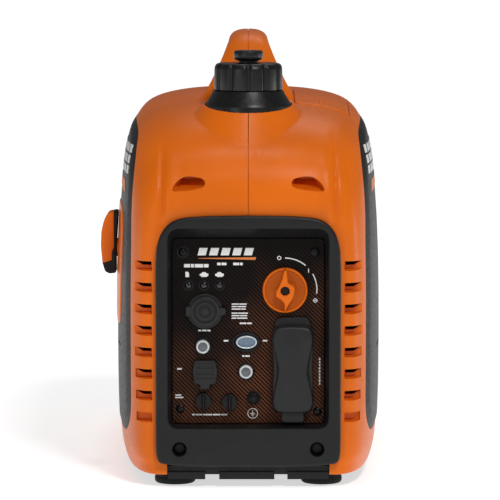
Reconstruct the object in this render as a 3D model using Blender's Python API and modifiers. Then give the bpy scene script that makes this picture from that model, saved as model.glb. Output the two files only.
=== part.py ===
"""Portable inverter generator: two moulded shell halves with a carry handle, side covers, a recessed
control panel, and the engine, alternator, inverter, tank and recoil starter that they enclose.

Metres, +Z up. The control panel faces -Y. Every part is modelled about the seam between the shell
halves (x = 0), and the empty "generator_frame" then moves the whole object along X, so that the world
origin lies under the middle of its bounding box."""

import math

import bmesh
import bpy
from mathutils import Matrix, Vector
from mathutils.bvhtree import BVHTree

# ---------------------------------------------------------------- driving dimensions
FRAME_SHIFT = 0.0073  # the starter grip stands out on the left, so the box's middle is left of the seam
SHELL_Y = 0.262  # half the length of the orange shell
BEZEL_Y = -0.2700  # face of the panel bezel, the frontmost surface
WALL = 0.003
FIT = 0.0004  # gap between neighbouring mouldings
SEAM = 0.00015  # half of the gap between the two shell halves
CORNER_POWER = 2.7  # superellipse power of the rounded ends, seen from above and from the side

# Half outlines (x, z) from the lower edge to the top centre, with matching points.
END_OUTLINE = [
    (0.0840, 0.0120), (0.0845, 0.0240), (0.0920, 0.0335), (0.0925, 0.0900), (0.0925, 0.1600), (0.0925, 0.2200),
    (0.0905, 0.2450), (0.0830, 0.2610), (0.0700, 0.2695), (0.0480, 0.2720), (0.0240, 0.2727), (0.0000, 0.2730),
]
MIDDLE_OUTLINE = [
    (0.1250, 0.0120), (0.1290, 0.0210), (0.1322, 0.0420), (0.1340, 0.0850), (0.1345, 0.1550), (0.1335, 0.2250),
    (0.1300, 0.2900), (0.1250, 0.3320), (0.1160, 0.3575), (0.0980, 0.3732), (0.0600, 0.3818), (0.0000, 0.3850),
]
BEZEL_OUTLINE = [
    (0.0000, 0.0216), (0.0600, 0.0222), (0.0815, 0.0245), (0.0890, 0.0300), (0.0915, 0.0400), (0.0919, 0.0900),
    (0.0919, 0.1600), (0.0919, 0.2200), (0.0898, 0.2445), (0.0825, 0.2600), (0.0697, 0.2685), (0.0480, 0.2712),
    (0.0240, 0.2719), (0.0000, 0.2722),
]
OUTLINE_STEPS = 15
END_STEPS = 6

FILLER = Vector((0.0, -0.165, 0.0))  # axis of the fuel filler
PEDESTAL_RISE = 0.008  # the shell rises towards the filler collar
PEDESTAL_INNER, PEDESTAL_OUTER = 0.040, 0.085

# The handle's centreline (y, z) with its half width and half thickness.
HANDLE = [
    (-0.1120, 0.3600, 0.0640, 0.0200), (-0.1070, 0.3850, 0.0460, 0.0180), (-0.0960, 0.4100, 0.0325, 0.0165),
    (-0.0720, 0.4290, 0.0245, 0.0165), (-0.0300, 0.4345, 0.0220, 0.0155), (0.0300, 0.4325, 0.0220, 0.0155),
    (0.0800, 0.4215, 0.0240, 0.0160), (0.1100, 0.4000, 0.0300, 0.0165), (0.1240, 0.3800, 0.0400, 0.0180),
    (0.1300, 0.3580, 0.0500, 0.0200),
]

# A side cover's outline (y, z), from its lower front corner up, over the top and down to the lower rear corner.
COVER_OUTLINE = [
    (-0.1900, 0.0470), (-0.2160, 0.0510), (-0.2310, 0.0620), (-0.2370, 0.0800), (-0.2380, 0.1200),
    (-0.2380, 0.1700), (-0.2375, 0.2200), (-0.2350, 0.2480), (-0.2300, 0.2680), (-0.2245, 0.2880),
    (-0.2150, 0.3110), (-0.1960, 0.3320), (-0.1600, 0.3500), (-0.1000, 0.3575), (-0.0300, 0.3585),
    (0.0400, 0.3585), (0.1000, 0.3560), (0.1500, 0.3460), (0.1900, 0.3280), (0.2130, 0.3050),
    (0.2280, 0.2770), (0.2355, 0.2430), (0.2375, 0.2050), (0.2380, 0.1500), (0.2370, 0.0900),
    (0.2310, 0.0640), (0.2160, 0.0510), (0.1900, 0.0470), (0.0700, 0.0460), (-0.0700, 0.0460),
]
COVER_CENTRE = (0.0, 0.1950)
COVER_GROOVE = 0.0025  # open joint between a side cover and its shell
COVER_PROUD = 0.0020

PANEL_Y, PANEL_THICK = -0.2465, 0.0025
PANEL_HALF, PANEL_LOW, PANEL_HIGH = 0.0755, 0.0625, 0.2475

# Panel positions (x, z).
KNOB_AT, KNOB_R = (0.0366, 0.1963), 0.0225
LAMPS_AT = {"fuel_lamp": (-0.0597, 0.2006), "overload_lamp": (-0.0442, 0.2006), "ready_lamp": (-0.0288, 0.2006)}
DC_AT = (-0.0431, 0.1752)
DC_BUTTON_AT, AC_BUTTON_AT, BUTTON_R = (-0.0454, 0.1395), (-0.0023, 0.1143), 0.0068
ROCKER_AT, ROCKER_RX, ROCKER_RZ = (-0.0021, 0.1441), 0.0108, 0.0068
ROCKER_TILT = math.radians(5)
USB_AT = (-0.0434, 0.1143)
AC_AT, AC_HALF, AC_LOW, AC_HIGH = (0.0444, 0.1170), 0.0205, 0.0742, 0.1612
JACKS_AT = {"parallel_jack_left": (-0.0447, 0.0852), "parallel_jack_right": (-0.0187, 0.0841)}
GROUND_AT = (0.0053, 0.0881)
SCREWS_AT = {
    "panel_screw_top_left": (-0.0651, 0.2341), "panel_screw_top_right": (0.0663, 0.2341),
    "panel_screw_bottom_left": (-0.0678, 0.0769), "panel_screw_bottom_right": (0.0690, 0.0740),
}
BEZEL_BOLTS_AT = {"bezel_bolt_left": (-0.0685, 0.0390), "bezel_bolt_right": (0.0685, 0.0390)}

LOUVRE_COUNT, LOUVRE_LOW, LOUVRE_PITCH, LOUVRE_HEIGHT = 8, 0.0625, 0.0216, 0.0125
LOUVRE_IN, LOUVRE_OUT, LOUVRE_DEEP = 0.0955, 0.1150, -0.2505

CRANK = Vector((0.0, 0.0, 0.190))  # the crankshaft runs along Y at this x and z
ROPE_Y, ROPE_Z = -0.1300, 0.2280
ROPE_PULLEY_R = ROPE_Z - CRANK.z
GRIP_INNER_X = -0.1349

FOOT_X, FOOT_Y, FOOT_R, FOOT_HIGH = 0.0735, 0.2280, 0.0205, 0.0120
TRAY_LOW, TRAY_HIGH = 0.0124, 0.0208


# ---------------------------------------------------------------- scene, materials, helpers
for old in list(bpy.data.objects):
    bpy.data.objects.remove(old, do_unlink=True)

parts = bpy.data.collections.new("inverter_generator")
cutters = bpy.data.collections.new("cutters")
for made in (parts, cutters):
    bpy.context.scene.collection.children.link(made)

frame = bpy.data.objects.new("generator_frame", None)
frame.location = (FRAME_SHIFT, 0.0, 0.0)
parts.objects.link(frame)


def material(name, colour, roughness, metallic=0.0):
    made = bpy.data.materials.new(name)
    made.use_nodes = True
    shader = made.node_tree.nodes["Principled BSDF"]
    shader.inputs["Base Color"].default_value = (*colour, 1.0)
    shader.inputs["Roughness"].default_value = roughness
    shader.inputs["Metallic"].default_value = metallic
    return made


ORANGE = material("orange_plastic", (0.80, 0.22, 0.015), 0.42)
CHARCOAL = material("charcoal_plastic", (0.045, 0.048, 0.052), 0.50)
COVER_BLACK = material("cover_plastic", (0.040, 0.043, 0.047), 0.38)
PANEL_BLACK = material("panel_film", (0.020, 0.016, 0.014), 0.35)
RUBBER = material("black_rubber", (0.030, 0.030, 0.032), 0.75)
CAP_BLACK = material("cap_plastic", (0.022, 0.023, 0.025), 0.40)
SOCKET_BLACK = material("socket_plastic", (0.025, 0.025, 0.028), 0.45)
BUTTON_WHITE = material("button_plastic", (0.62, 0.64, 0.64), 0.30)
ROCKER_BLUE = material("rocker_plastic", (0.28, 0.36, 0.52), 0.25)
LAMP = material("lamp_lens", (0.20, 0.05, 0.04), 0.15)
SCREW_STEEL = material("black_screw", (0.08, 0.08, 0.085), 0.35, 0.8)
STEEL = material("steel", (0.45, 0.45, 0.46), 0.35, 1.0)
ALUMINIUM = material("cast_aluminium", (0.62, 0.63, 0.65), 0.50, 1.0)
COPPER = material("copper_winding", (0.60, 0.28, 0.12), 0.40, 1.0)
MUFFLER_STEEL = material("muffler_steel", (0.30, 0.29, 0.28), 0.55, 1.0)
TANK_BLACK = material("tank_plastic", (0.05, 0.05, 0.05), 0.55)
ROPE_CORD = material("rope_cord", (0.10, 0.10, 0.10), 0.85)
PORCELAIN = material("porcelain", (0.85, 0.84, 0.80), 0.20)


def keep(obj, colour, pivot=None):
    """Puts a finished object in the parts collection, with its origin at pivot if it moves about one."""
    if pivot is not None:
        obj.data.transform(Matrix.Translation(-Vector(pivot)))
        obj.location = pivot
    if colour is not None:
        obj.data.materials.clear()
        obj.data.materials.append(colour)
    obj.parent = frame
    for holder in list(obj.users_collection):
        holder.objects.unlink(obj)
    parts.objects.link(obj)
    if obj.type == "MESH":
        obj.data.shade_smooth()
        obj.data.set_sharp_from_angle(angle=math.radians(35))
    return obj


def as_cutter(obj):
    obj.parent = frame
    obj.hide_render = True
    obj.display_type = "WIRE"
    for holder in list(obj.users_collection):
        holder.objects.unlink(obj)
    cutters.objects.link(obj)
    return obj


def from_bmesh(name, bm):
    mesh = bpy.data.meshes.new(name)
    bm.to_mesh(mesh)
    bm.free()
    obj = bpy.data.objects.new(name, mesh)
    bpy.context.scene.collection.objects.link(obj)
    return obj


def box(name, low, high, bevel=0.0, segments=2):
    """A box from its lowest to its highest corner."""
    low, high = Vector(low), Vector(high)
    bm = bmesh.new()
    bmesh.ops.create_cube(bm, size=1.0)
    bmesh.ops.scale(bm, vec=high - low, verts=bm.verts)
    bmesh.ops.translate(bm, vec=(low + high) / 2, verts=bm.verts)
    obj = from_bmesh(name, bm)
    if bevel:
        rounded = obj.modifiers.new("rounded", "BEVEL")
        rounded.width = bevel
        rounded.segments = segments
    return obj


AXIS_TURN = {
    "X": Matrix.Rotation(math.radians(90), 4, "Y"),
    "Y": Matrix.Rotation(math.radians(-90), 4, "X"),
    "Z": Matrix.Identity(4),
}


def rod(name, start, end, radius, end_radius=None, sides=24):
    """A cylinder, or a cone, between two points."""
    start, end = Vector(start), Vector(end)
    along = end - start
    bm = bmesh.new()
    bmesh.ops.create_cone(
        bm, cap_ends=True, segments=sides, radius1=radius, depth=along.length,
        radius2=radius if end_radius is None else end_radius,
    )
    turn = along.to_track_quat("Z", "Y").to_matrix().to_4x4()
    bmesh.ops.transform(bm, matrix=Matrix.Translation((start + end) / 2) @ turn, verts=bm.verts)
    return from_bmesh(name, bm)


def turned(name, profile, centre, axis="Z", sides=24):
    """A closed profile of (radius, height), listed down its outer side first, turned about an axis through centre."""
    bm = bmesh.new()
    ring = [bm.verts.new((radius, 0.0, height)) for radius, height in profile]
    for first, second in zip(ring, ring[1:] + ring[:1]):
        bm.edges.new((first, second))
    obj = from_bmesh(name, bm)
    screw = obj.modifiers.new("turned", "SCREW")
    screw.axis = "Z"
    screw.steps = screw.render_steps = sides
    screw.use_merge_vertices = True
    screw.merge_threshold = 0.00005
    obj = solid_mesh(obj)
    obj.data.transform(Matrix.Translation(centre) @ AXIS_TURN[axis])
    return obj


def solid_mesh(obj):
    """The object with its modifiers applied, its points welded and its faces turned out."""
    bpy.context.view_layer.update()
    made = bpy.data.meshes.new_from_object(obj.evaluated_get(bpy.context.evaluated_depsgraph_get()))
    name, place = obj.name, obj.matrix_world.copy()
    bpy.data.objects.remove(obj)
    bm = bmesh.new()
    bm.from_mesh(made)
    bpy.data.meshes.remove(made)
    bmesh.ops.transform(bm, matrix=place, verts=bm.verts)
    bmesh.ops.remove_doubles(bm, verts=bm.verts, dist=0.00001)
    bmesh.ops.recalc_face_normals(bm, faces=bm.faces)
    return from_bmesh(name, bm)


# For each axis, the curve's own (u, v, w) as world directions: X takes (y, z), Y takes (x, z), Z takes (x, y).
EXTRUDE_FRAME = {
    "X": Matrix(((0, 0, 1, 0), (1, 0, 0, 0), (0, 1, 0, 0), (0, 0, 0, 1))),
    "Y": Matrix(((1, 0, 0, 0), (0, 0, -1, 0), (0, 1, 0, 0), (0, 0, 0, 1))),
    "Z": Matrix.Identity(4),
}


def extruded(name, outline, axis, low, high):
    """A flat outline, carried along an axis from low to high."""
    curve = bpy.data.curves.new(name, "CURVE")
    curve.dimensions = "2D"
    curve.fill_mode = "BOTH"
    curve.extrude = abs(high - low) / 2
    spline = curve.splines.new("POLY")
    spline.points.add(len(outline) - 1)
    for point, (u, v) in zip(spline.points, outline):
        point.co = (u, v, 0.0, 1.0)
    spline.use_cyclic_u = True
    obj = bpy.data.objects.new(name, curve)
    bpy.context.scene.collection.objects.link(obj)
    middle = {"X": ((low + high) / 2, 0, 0), "Y": (0, (low + high) / 2, 0), "Z": (0, 0, (low + high) / 2)}[axis]
    obj.matrix_world = Matrix.Translation(middle) @ EXTRUDE_FRAME[axis]
    return solid_mesh(obj)


def wire(name, points, radius, resolution=2):
    """A round bar along a line of points."""
    curve = bpy.data.curves.new(name, "CURVE")
    curve.dimensions = "3D"
    curve.bevel_depth = radius
    curve.bevel_resolution = resolution
    curve.use_fill_caps = True
    spline = curve.splines.new("POLY")
    spline.points.add(len(points) - 1)
    for point, place in zip(spline.points, points):
        point.co = (*place, 1.0)
    obj = bpy.data.objects.new(name, curve)
    bpy.context.scene.collection.objects.link(obj)
    return solid_mesh(obj)


def loft(name, rings, caps=True, wrap=False):
    """A skin through rings of equally many points. Each ring is a closed loop; wrap joins the last ring to the first."""
    bm = bmesh.new()
    rows = [[bm.verts.new(point) for point in ring] for ring in rings]
    pairs = list(zip(rows, rows[1:])) + ([(rows[-1], rows[0])] if wrap else [])
    for lower, upper in pairs:
        count = len(lower)
        for i in range(count):
            j = (i + 1) % count
            bm.faces.new((lower[i], lower[j], upper[j], upper[i]))
    if caps:
        bm.faces.new(rows[0])
        bm.faces.new(rows[-1])
    bmesh.ops.recalc_face_normals(bm, faces=bm.faces)
    return from_bmesh(name, bm)


def boolean(obj, operation, *others, solver="EXACT"):
    """Cuts, joins or intersects obj with each other object, and applies the result."""
    for other in others:
        as_cutter(other)
        step = obj.modifiers.new(operation.lower(), "BOOLEAN")
        step.operation = operation
        step.solver = solver
        step.object = other
    obj.parent = frame
    bpy.context.view_layer.update()
    made = bpy.data.meshes.new_from_object(obj.evaluated_get(bpy.context.evaluated_depsgraph_get()))
    obj.modifiers.clear()
    obj.data = made
    return obj


def cut(obj, *others, solver="EXACT"):
    return boolean(obj, "DIFFERENCE", *others, solver=solver)


def join(obj, *others):
    return boolean(obj, "UNION", *others)


def smooth_line(points, count):
    """count points on a Catmull-Rom curve through the given points."""
    made = []
    last = len(points) - 1
    for step in range(count):
        place = step / (count - 1) * last
        i = min(int(place), last - 1)
        t = place - i
        around = [points[max(0, min(last, i + k))] for k in (-1, 0, 1, 2)]
        made.append(tuple(
            0.5 * (2 * b + (c - a) * t + (2 * a - 5 * b + 4 * c - d) * t * t + (3 * b - a - 3 * c + d) * t ** 3)
            for a, b, c, d in zip(*around)
        ))
    return made


def smooth_loop(points, count):
    """count points, evenly spread, on a closed Catmull-Rom curve through the given points."""
    size = len(points)
    fine = []
    for i in range(size):
        a, b, c, d = (points[(i + k) % size] for k in (-1, 0, 1, 2))
        for t in (0.0, 0.25, 0.5, 0.75):
            fine.append(tuple(
                0.5 * (2 * q + (r - p) * t + (2 * p - 5 * q + 4 * r - s) * t * t + (3 * q - p - 3 * r + s) * t ** 3)
                for p, q, r, s in zip(a, b, c, d)
            ))
    lengths = [0.0]
    for first, second in zip(fine, fine[1:] + fine[:1]):
        lengths.append(lengths[-1] + math.dist(first, second))
    made, at = [], 0
    for k in range(count):
        goal = lengths[-1] * k / count
        while lengths[at + 1] <= goal:
            at += 1
        share = (goal - lengths[at]) / (lengths[at + 1] - lengths[at])
        first, second = fine[at], fine[(at + 1) % len(fine)]
        made.append(tuple(p + (q - p) * share for p, q in zip(first, second)))
    return made


def shrunk(outline, by):
    """A closed outline moved in by a fixed distance."""
    count = len(outline)
    made = []
    for i, (x, z) in enumerate(outline):
        before, after = outline[i - 1], outline[(i + 1) % count]
        along = Vector((after[0] - before[0], after[1] - before[1])).normalized()
        made.append((x - along.y * by, z + along.x * by))
    return made


def inset(outline, depth):
    """A half outline moved towards the inside of the body by depth."""
    made = []
    for i, (x, z) in enumerate(outline):
        before, after = outline[max(0, i - 1)], outline[min(len(outline) - 1, i + 1)]
        along = Vector((after[0] - before[0], after[1] - before[1])).normalized()
        moved = (x - along.y * depth, z + along.x * depth)
        made.append((max(0.0, moved[0]) if x > 0 else 0.0, moved[1]))
    return made


def rounded_rectangle(u_low, u_high, v_low, v_high, radius, corner_steps=5):
    """Points round a rectangle with round corners, from the lower right corner on."""
    points = []
    corners = [(u_high - radius, v_low + radius, -90), (u_high - radius, v_high - radius, 0),
               (u_low + radius, v_high - radius, 90), (u_low + radius, v_low + radius, 180)]
    for u, v, start in corners:
        for step in range(corner_steps + 1):
            angle = math.radians(start + 90 * step / corner_steps)
            points.append((u + radius * math.cos(angle), v + radius * math.sin(angle)))
    return points


def ellipse(centre, rx, rz, count=24):
    return [(centre[0] + rx * math.cos(2 * math.pi * k / count), centre[1] + rz * math.sin(2 * math.pi * k / count))
            for k in range(count)]


# ---------------------------------------------------------------- the shell's form
def pedestal(x, y, z):
    """How far the shell rises round the fuel filler."""
    away = math.hypot(x - FILLER.x, y - FILLER.y)
    share = min(1.0, max(0.0, (PEDESTAL_OUTER - away) / (PEDESTAL_OUTER - PEDESTAL_INNER)))
    high = min(1.0, max(0.0, (z - 0.325) / 0.025))
    return PEDESTAL_RISE * share * share * (3 - 2 * share) * high


def shell_rings(depth, seam_x):
    """Closed rings of the shell's right half, from front to back, moved in by depth and closed at seam_x."""
    end = inset(smooth_line(END_OUTLINE, OUTLINE_STEPS), depth)
    middle = inset(smooth_line(MIDDLE_OUTLINE, OUTLINE_STEPS), depth)
    if depth:
        end[0] = (end[0][0], -0.02)
        middle[0] = (middle[0][0], -0.02)
    rings = []
    for step in range(2 * END_STEPS + 1):
        turn = step / END_STEPS * math.pi / 2
        out = abs(math.sin(turn)) ** (2 / CORNER_POWER)
        y = -(SHELL_Y - depth) * math.copysign(abs(math.cos(turn)) ** (2 / CORNER_POWER), math.cos(turn))
        ring = []
        for (ex, ez), (mx, mz) in zip(end, middle):
            x, z = ex + (mx - ex) * out, ez + (mz - ez) * out
            ring.append(Vector((x, y, z + pedestal(x, y, z))))
        ring[-1].x = seam_x
        rings.append(ring + [Vector((seam_x, y, ring[0].z))])
    return rings


form = loft("shell_form", shell_rings(0.0, -0.02))
form_tree = BVHTree.FromPolygons([v.co for v in form.data.vertices], [tuple(p.vertices) for p in form.data.polygons])


def side_point(y, z, side, lift):
    """The point of the shell's side over (y, z), on the left (side -1) or right (1), lifted outwards."""
    hit = form_tree.ray_cast(Vector((0.4, y, z)), Vector((-1, 0, 0)))
    return Vector((side * (hit[0].x + lift), y, z))


def top_point(x, y, lift):
    hit = form_tree.ray_cast(Vector((x, y, 0.6)), Vector((0, 0, -1)))
    return Vector((x, y, hit[0].z + lift))


def skin_patch(name, outline, centre, project, inward, skirt, thickness, shares=(1.0, 0.88, 0.5)):
    """A moulded cover that follows the shell: rings shrinking to a centre, with an edge turned inwards."""
    rings = [[project(u, v) + inward * skirt for u, v in outline]]
    for share in shares:
        rings.append([project(centre[0] + (u - centre[0]) * share, centre[1] + (v - centre[1]) * share)
                      for u, v in outline])
    obj = loft(name, rings, caps=False)
    bm = bmesh.new()
    bm.from_mesh(obj.data)
    bm.verts.ensure_lookup_table()
    count = len(outline)
    last = [bm.verts[i] for i in range(len(bm.verts) - count, len(bm.verts))]
    hub = bm.verts.new(project(*centre))
    for i, vert in enumerate(last):
        bm.faces.new((vert, last[(i + 1) % count], hub))
    bmesh.ops.recalc_face_normals(bm, faces=bm.faces)
    outward = sum((f.normal * f.calc_area() for f in bm.faces), Vector())
    if outward.dot(inward) > 0:
        bmesh.ops.reverse_faces(bm, faces=bm.faces)
    bm.to_mesh(obj.data)
    bm.free()
    thick = obj.modifiers.new("wall", "SOLIDIFY")
    thick.thickness = thickness
    thick.offset = -1.0
    thick.use_even_offset = False
    return solid_mesh(obj)


# ---------------------------------------------------------------- handle, seen as part of both shell halves
def handle_half(name, wall, seam_x):
    """The right half of the handle, moved in by wall and closed at seam_x."""
    rings = []
    for i, (y, z, half_width, half_thick) in enumerate(HANDLE):
        before, after = HANDLE[max(0, i - 1)], HANDLE[min(len(HANDLE) - 1, i + 1)]
        along = Vector((0.0, after[0] - before[0], after[1] - before[1])).normalized()
        across = Vector((0.0, -along.z, along.y))
        ring = []
        for k in range(9):
            angle = math.pi * (k / 8 - 0.5)
            side = abs(math.cos(angle)) ** 0.8
            rise = math.copysign(abs(math.sin(angle)) ** 0.8, math.sin(angle))
            x = seam_x if k in (0, 8) else side * (half_width - wall)
            ring.append(Vector((x, y, z)) + across * (rise * (half_thick - wall)))
        rings.append(ring)
    return loft(name, rings)


# ---------------------------------------------------------------- shell halves
cover_outline = smooth_loop(COVER_OUTLINE, 44)
cover_opening = shrunk(cover_outline, COVER_GROOVE)
SPARK_LID = (0.0470, 0.1030, -0.1350, -0.0150)  # x and y limits of the spark plug lid
SPARK_LID_CORNER = 0.008
BROW_X, BROW_RX, BROW_LOW, BROW_HIGH, BROW_BACK = 0.0586, 0.0160, 0.2961, 0.3108, -0.2430
COLLAR_PROFILE = [(0.0350, 0.3910), (0.0440, 0.3765), (0.0440, 0.3560)]  # outer side, downwards


def hull(name, points):
    """The smallest convex solid that holds every point."""
    bm = bmesh.new()
    for point in points:
        bm.verts.new(point)
    made = bmesh.ops.convex_hull(bm, input=bm.verts)
    bmesh.ops.delete(bm, geom=[v for v in made["geom_interior"] if isinstance(v, bmesh.types.BMVert)], context="VERTS")
    bmesh.ops.recalc_face_normals(bm, faces=bm.faces)
    return from_bmesh(name, bm)


def louvre_cutters():
    """Pockets whose floor climbs inwards, each with a slit through to the inside at its top."""
    made = []
    for k in range(LOUVRE_COUNT):
        low = LOUVRE_LOW + k * LOUVRE_PITCH
        high = low + LOUVRE_HEIGHT
        outer = LOUVRE_OUT - 0.0005 * (LOUVRE_COUNT - 1 - k)
        made.append(hull(f"louvre_{k}", (
            (LOUVRE_IN, -0.28, low), (LOUVRE_IN, -0.28, high), (outer, -0.28, low), (outer, -0.28, high),
            (LOUVRE_IN, LOUVRE_DEEP, high - 0.0075), (LOUVRE_IN, LOUVRE_DEEP, high),
            (0.1075, LOUVRE_DEEP, high - 0.0075), (0.1075, LOUVRE_DEEP, high),
            (outer, LOUVRE_DEEP + 0.0045, low + 0.0040), (outer, LOUVRE_DEEP + 0.0045, high),
        )))
        made.append(box(f"louvre_slit_{k}", (LOUVRE_IN + 0.0010, LOUVRE_DEEP - 0.0010, high - 0.0068),
                        (0.1065, LOUVRE_DEEP + 0.0120, high - 0.0008)))
    return made


def brow_cutter():
    """A half-moon scoop. Its floor climbs inwards to a low slot under the arch, nearer the seam."""
    turn = [math.pi * k / 8 for k in range(9)]
    front = [(BROW_X + BROW_RX * math.cos(a), BROW_LOW + (BROW_HIGH - BROW_LOW) * math.sin(a)) for a in turn]
    points = [(x, y, z) for x, z in front for y in (-0.2595, -0.2900)]
    points += [(BROW_X - 0.0030 + (x - BROW_X) * 0.75, BROW_BACK, max(z, BROW_LOW + 0.0075) - 0.0008) for x, z in front]
    return hull("brow", points)


hollow_rings = shell_rings(WALL, -0.03)
cavity = loft("cavity", [[p + Vector((0, -0.05, 0)) for p in hollow_rings[0]], *hollow_rings,
                         [p + Vector((0, 0.05, 0)) for p in hollow_rings[-1]]])
cut(cavity, box("louvre_block", (0.0900, -0.262, 0.055), (0.1400, LOUVRE_DEEP + 0.0075, 0.240)),
    box("brow_block", (BROW_X - BROW_RX - 0.0030, -0.2700, BROW_LOW - 0.0030),
        (BROW_X + BROW_RX + 0.0030, BROW_BACK + 0.0030, BROW_HIGH + 0.0030)), solver="MANIFOLD")


def mirror_image(obj, name):
    """A copy of obj on the other side of the seam."""
    bm = bmesh.new()
    bm.from_mesh(obj.data)
    bmesh.ops.scale(bm, vec=(-1.0, 1.0, 1.0), verts=bm.verts)
    bmesh.ops.reverse_faces(bm, faces=bm.faces)
    return from_bmesh(name, bm)


# EXACT leaves open edges where the thin shell's curved faces are cut along the seam, so the shell takes MANIFOLD.
right_shell = form
right_shell.name = right_shell.data.name = "right_shell"
cut(right_shell, cavity, solver="MANIFOLD")
boolean(right_shell, "UNION", handle_half("handle", 0.0, -0.025), solver="MANIFOLD")
cut(
    right_shell,
    handle_half("handle_hollow", WALL, -0.035),
    box("left_of_seam", (-0.05, -0.35, -0.05), (SEAM, 0.35, 0.60)),
    extruded("cover_hole", cover_opening, "X", 0.0950, 0.1700),
    brow_cutter(),
    *louvre_cutters(),
    turned("collar_hole", [(0.0370, 0.4300), (0.0370, 0.3890), (0.0447, 0.3765), (0.0447, 0.3400), (0.0, 0.3400),
                           (0.0, 0.4300)], FILLER, "Z", 32),
    solver="MANIFOLD",
)
keep(mirror_image(right_shell, "left_shell"), ORANGE)
cut(right_shell, extruded(
    "spark_lid_hole",
    rounded_rectangle(SPARK_LID[0] - FIT, SPARK_LID[1] + FIT, SPARK_LID[2] - FIT, SPARK_LID[3] + FIT, SPARK_LID_CORNER),
    "Z", 0.300, 0.410,
), solver="MANIFOLD")
keep(right_shell, ORANGE)

# ---------------------------------------------------------------- side covers
SURROUND = [
    (-0.1890, 0.2500), (-0.1820, 0.2660), (-0.1620, 0.2745), (-0.1200, 0.2760), (-0.0700, 0.2740), (-0.0250, 0.2620),
    (0.0100, 0.2400), (0.0220, 0.2180), (0.0080, 0.1980), (-0.0350, 0.1800), (-0.0900, 0.1630), (-0.1400, 0.1520),
    (-0.1700, 0.1560), (-0.1850, 0.1720), (-0.1905, 0.2100),
]
SURROUND_CENTRE = (-0.1150, 0.2200)


def spread(outline, centre, by):
    """The outline with each point moved away from the centre by a fixed distance."""
    made = []
    for u, v in outline:
        away = Vector((u - centre[0], v - centre[1]))
        away *= 1 + by / away.length
        made.append((centre[0] + away.x, centre[1] + away.y))
    return made


left_cover = skin_patch("left_cover", cover_outline, COVER_CENTRE, lambda y, z: side_point(y, z, -1, COVER_PROUD),
                        Vector((1, 0, 0)), 0.008, 0.0025)
cut(left_cover, extruded("surround_hole", spread(SURROUND, SURROUND_CENTRE, 0.0012), "X", -0.18, -0.10))
keep(left_cover, COVER_BLACK)

right_cover = skin_patch("right_cover", cover_outline, COVER_CENTRE, lambda y, z: side_point(y, z, 1, COVER_PROUD),
                         Vector((-1, 0, 0)), 0.008, 0.0025)
keep(right_cover, COVER_BLACK)

recoil_surround = skin_patch("recoil_surround", SURROUND, SURROUND_CENTRE,
                             lambda y, z: side_point(y, z, -1, COVER_PROUD), Vector((1, 0, 0)), 0.007, 0.0025)
EYE_BACK, EYE_FRONT = -0.1220, -0.1345
join(recoil_surround, rod("eye_boss", (EYE_BACK, ROPE_Y, ROPE_Z), (EYE_FRONT, ROPE_Y, ROPE_Z), 0.0090, None, 20))
cut(recoil_surround, rod("eye_bore", (-0.10, ROPE_Y, ROPE_Z), (-0.16, ROPE_Y, ROPE_Z), 0.0030, None, 16))
keep(recoil_surround, ORANGE)

# ---------------------------------------------------------------- spark plug lid
spark_lid = skin_patch(
    "spark_plug_lid", rounded_rectangle(*SPARK_LID, SPARK_LID_CORNER, 3),
    ((SPARK_LID[0] + SPARK_LID[1]) / 2, (SPARK_LID[2] + SPARK_LID[3]) / 2),
    lambda x, y: top_point(x, y, 0.0012), Vector((0, 0, -1)), 0.006, 0.0022, (1.0, 0.8, 0.4),
)
keep(spark_lid, ORANGE)


# ---------------------------------------------------------------- bezel, panel and tray
def whole(outline):
    """A half outline and its mirror image as one closed outline."""
    return list(outline) + [(-x, z) for x, z in outline[-2:0:-1]]


def ring_xz(outline, y):
    return [Vector((x, y, z)) for x, z in outline]


BEZEL_BACK = -0.2480
bezel_outer = whole(smooth_line(BEZEL_OUTLINE, 15))
bezel_inner = shrunk(bezel_outer, WALL + 0.0010)


def frame_plate(name, back, step, edge, face):
    """A plate that fills the shell's open end: it fits inside the wall from back to step, and covers it from there on."""
    return loft(name, [ring_xz(bezel_inner, back), ring_xz(bezel_inner, step), ring_xz(bezel_outer, step + (face - step) * 0.01),
                       ring_xz(bezel_outer, edge), ring_xz(shrunk(bezel_outer, 0.0022), face)])


bezel = frame_plate("front_bezel", BEZEL_BACK, -SHELL_Y - FIT, BEZEL_Y + 0.0030, BEZEL_Y)
def rounded_recess(half_width, low, high, radius, y):
    return ring_xz(rounded_rectangle(-half_width, half_width, low, high, radius, 5), y)


recess = loft("recess", [rounded_recess(0.0800, 0.0590, 0.2600, 0.0120, BEZEL_Y - 0.0020),
                         rounded_recess(0.0795, 0.0597, 0.2592, 0.0110, BEZEL_Y),
                         rounded_recess(0.0764, 0.0618, 0.2484, 0.0050, PANEL_Y - 0.0010),
                         rounded_recess(0.0764, 0.0618, 0.2484, 0.0050, -0.2300)])
cut(bezel, recess)
for bolt, (x, z) in BEZEL_BOLTS_AT.items():
    cut(bezel, rod(bolt + "_well", (x, -0.280, z), (x, -0.2560, z), 0.0070, None, 16),
        rod(bolt + "_hole", (x, -0.260, z), (x, -0.240, z), 0.0036, None, 12))
keep(bezel, CHARCOAL)

for bolt, (x, z) in BEZEL_BOLTS_AT.items():
    head = rod(bolt, (x, -0.2600, z), (x, -0.2564, z), 0.0056, None, 16)
    join(head, rod(bolt + "_shank", (x, -0.2570, z), (x, -0.2420, z), 0.0032, None, 12))
    cut(head, rod(bolt + "_hex", (x, -0.2620, z), (x, -0.2582, z), 0.0028, None, 6))
    keep(head, SCREW_STEEL)

panel = extruded("control_panel", rounded_rectangle(-PANEL_HALF, PANEL_HALF, PANEL_LOW, PANEL_HIGH, 0.004, 3),
                 "Y", PANEL_Y, PANEL_Y + PANEL_THICK)


def panel_hole(name, at, radius, sides=16):
    return rod(name + "_hole", (at[0], PANEL_Y - 0.01, at[1]), (at[0], PANEL_Y + 0.01, at[1]), radius, None, sides)


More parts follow.
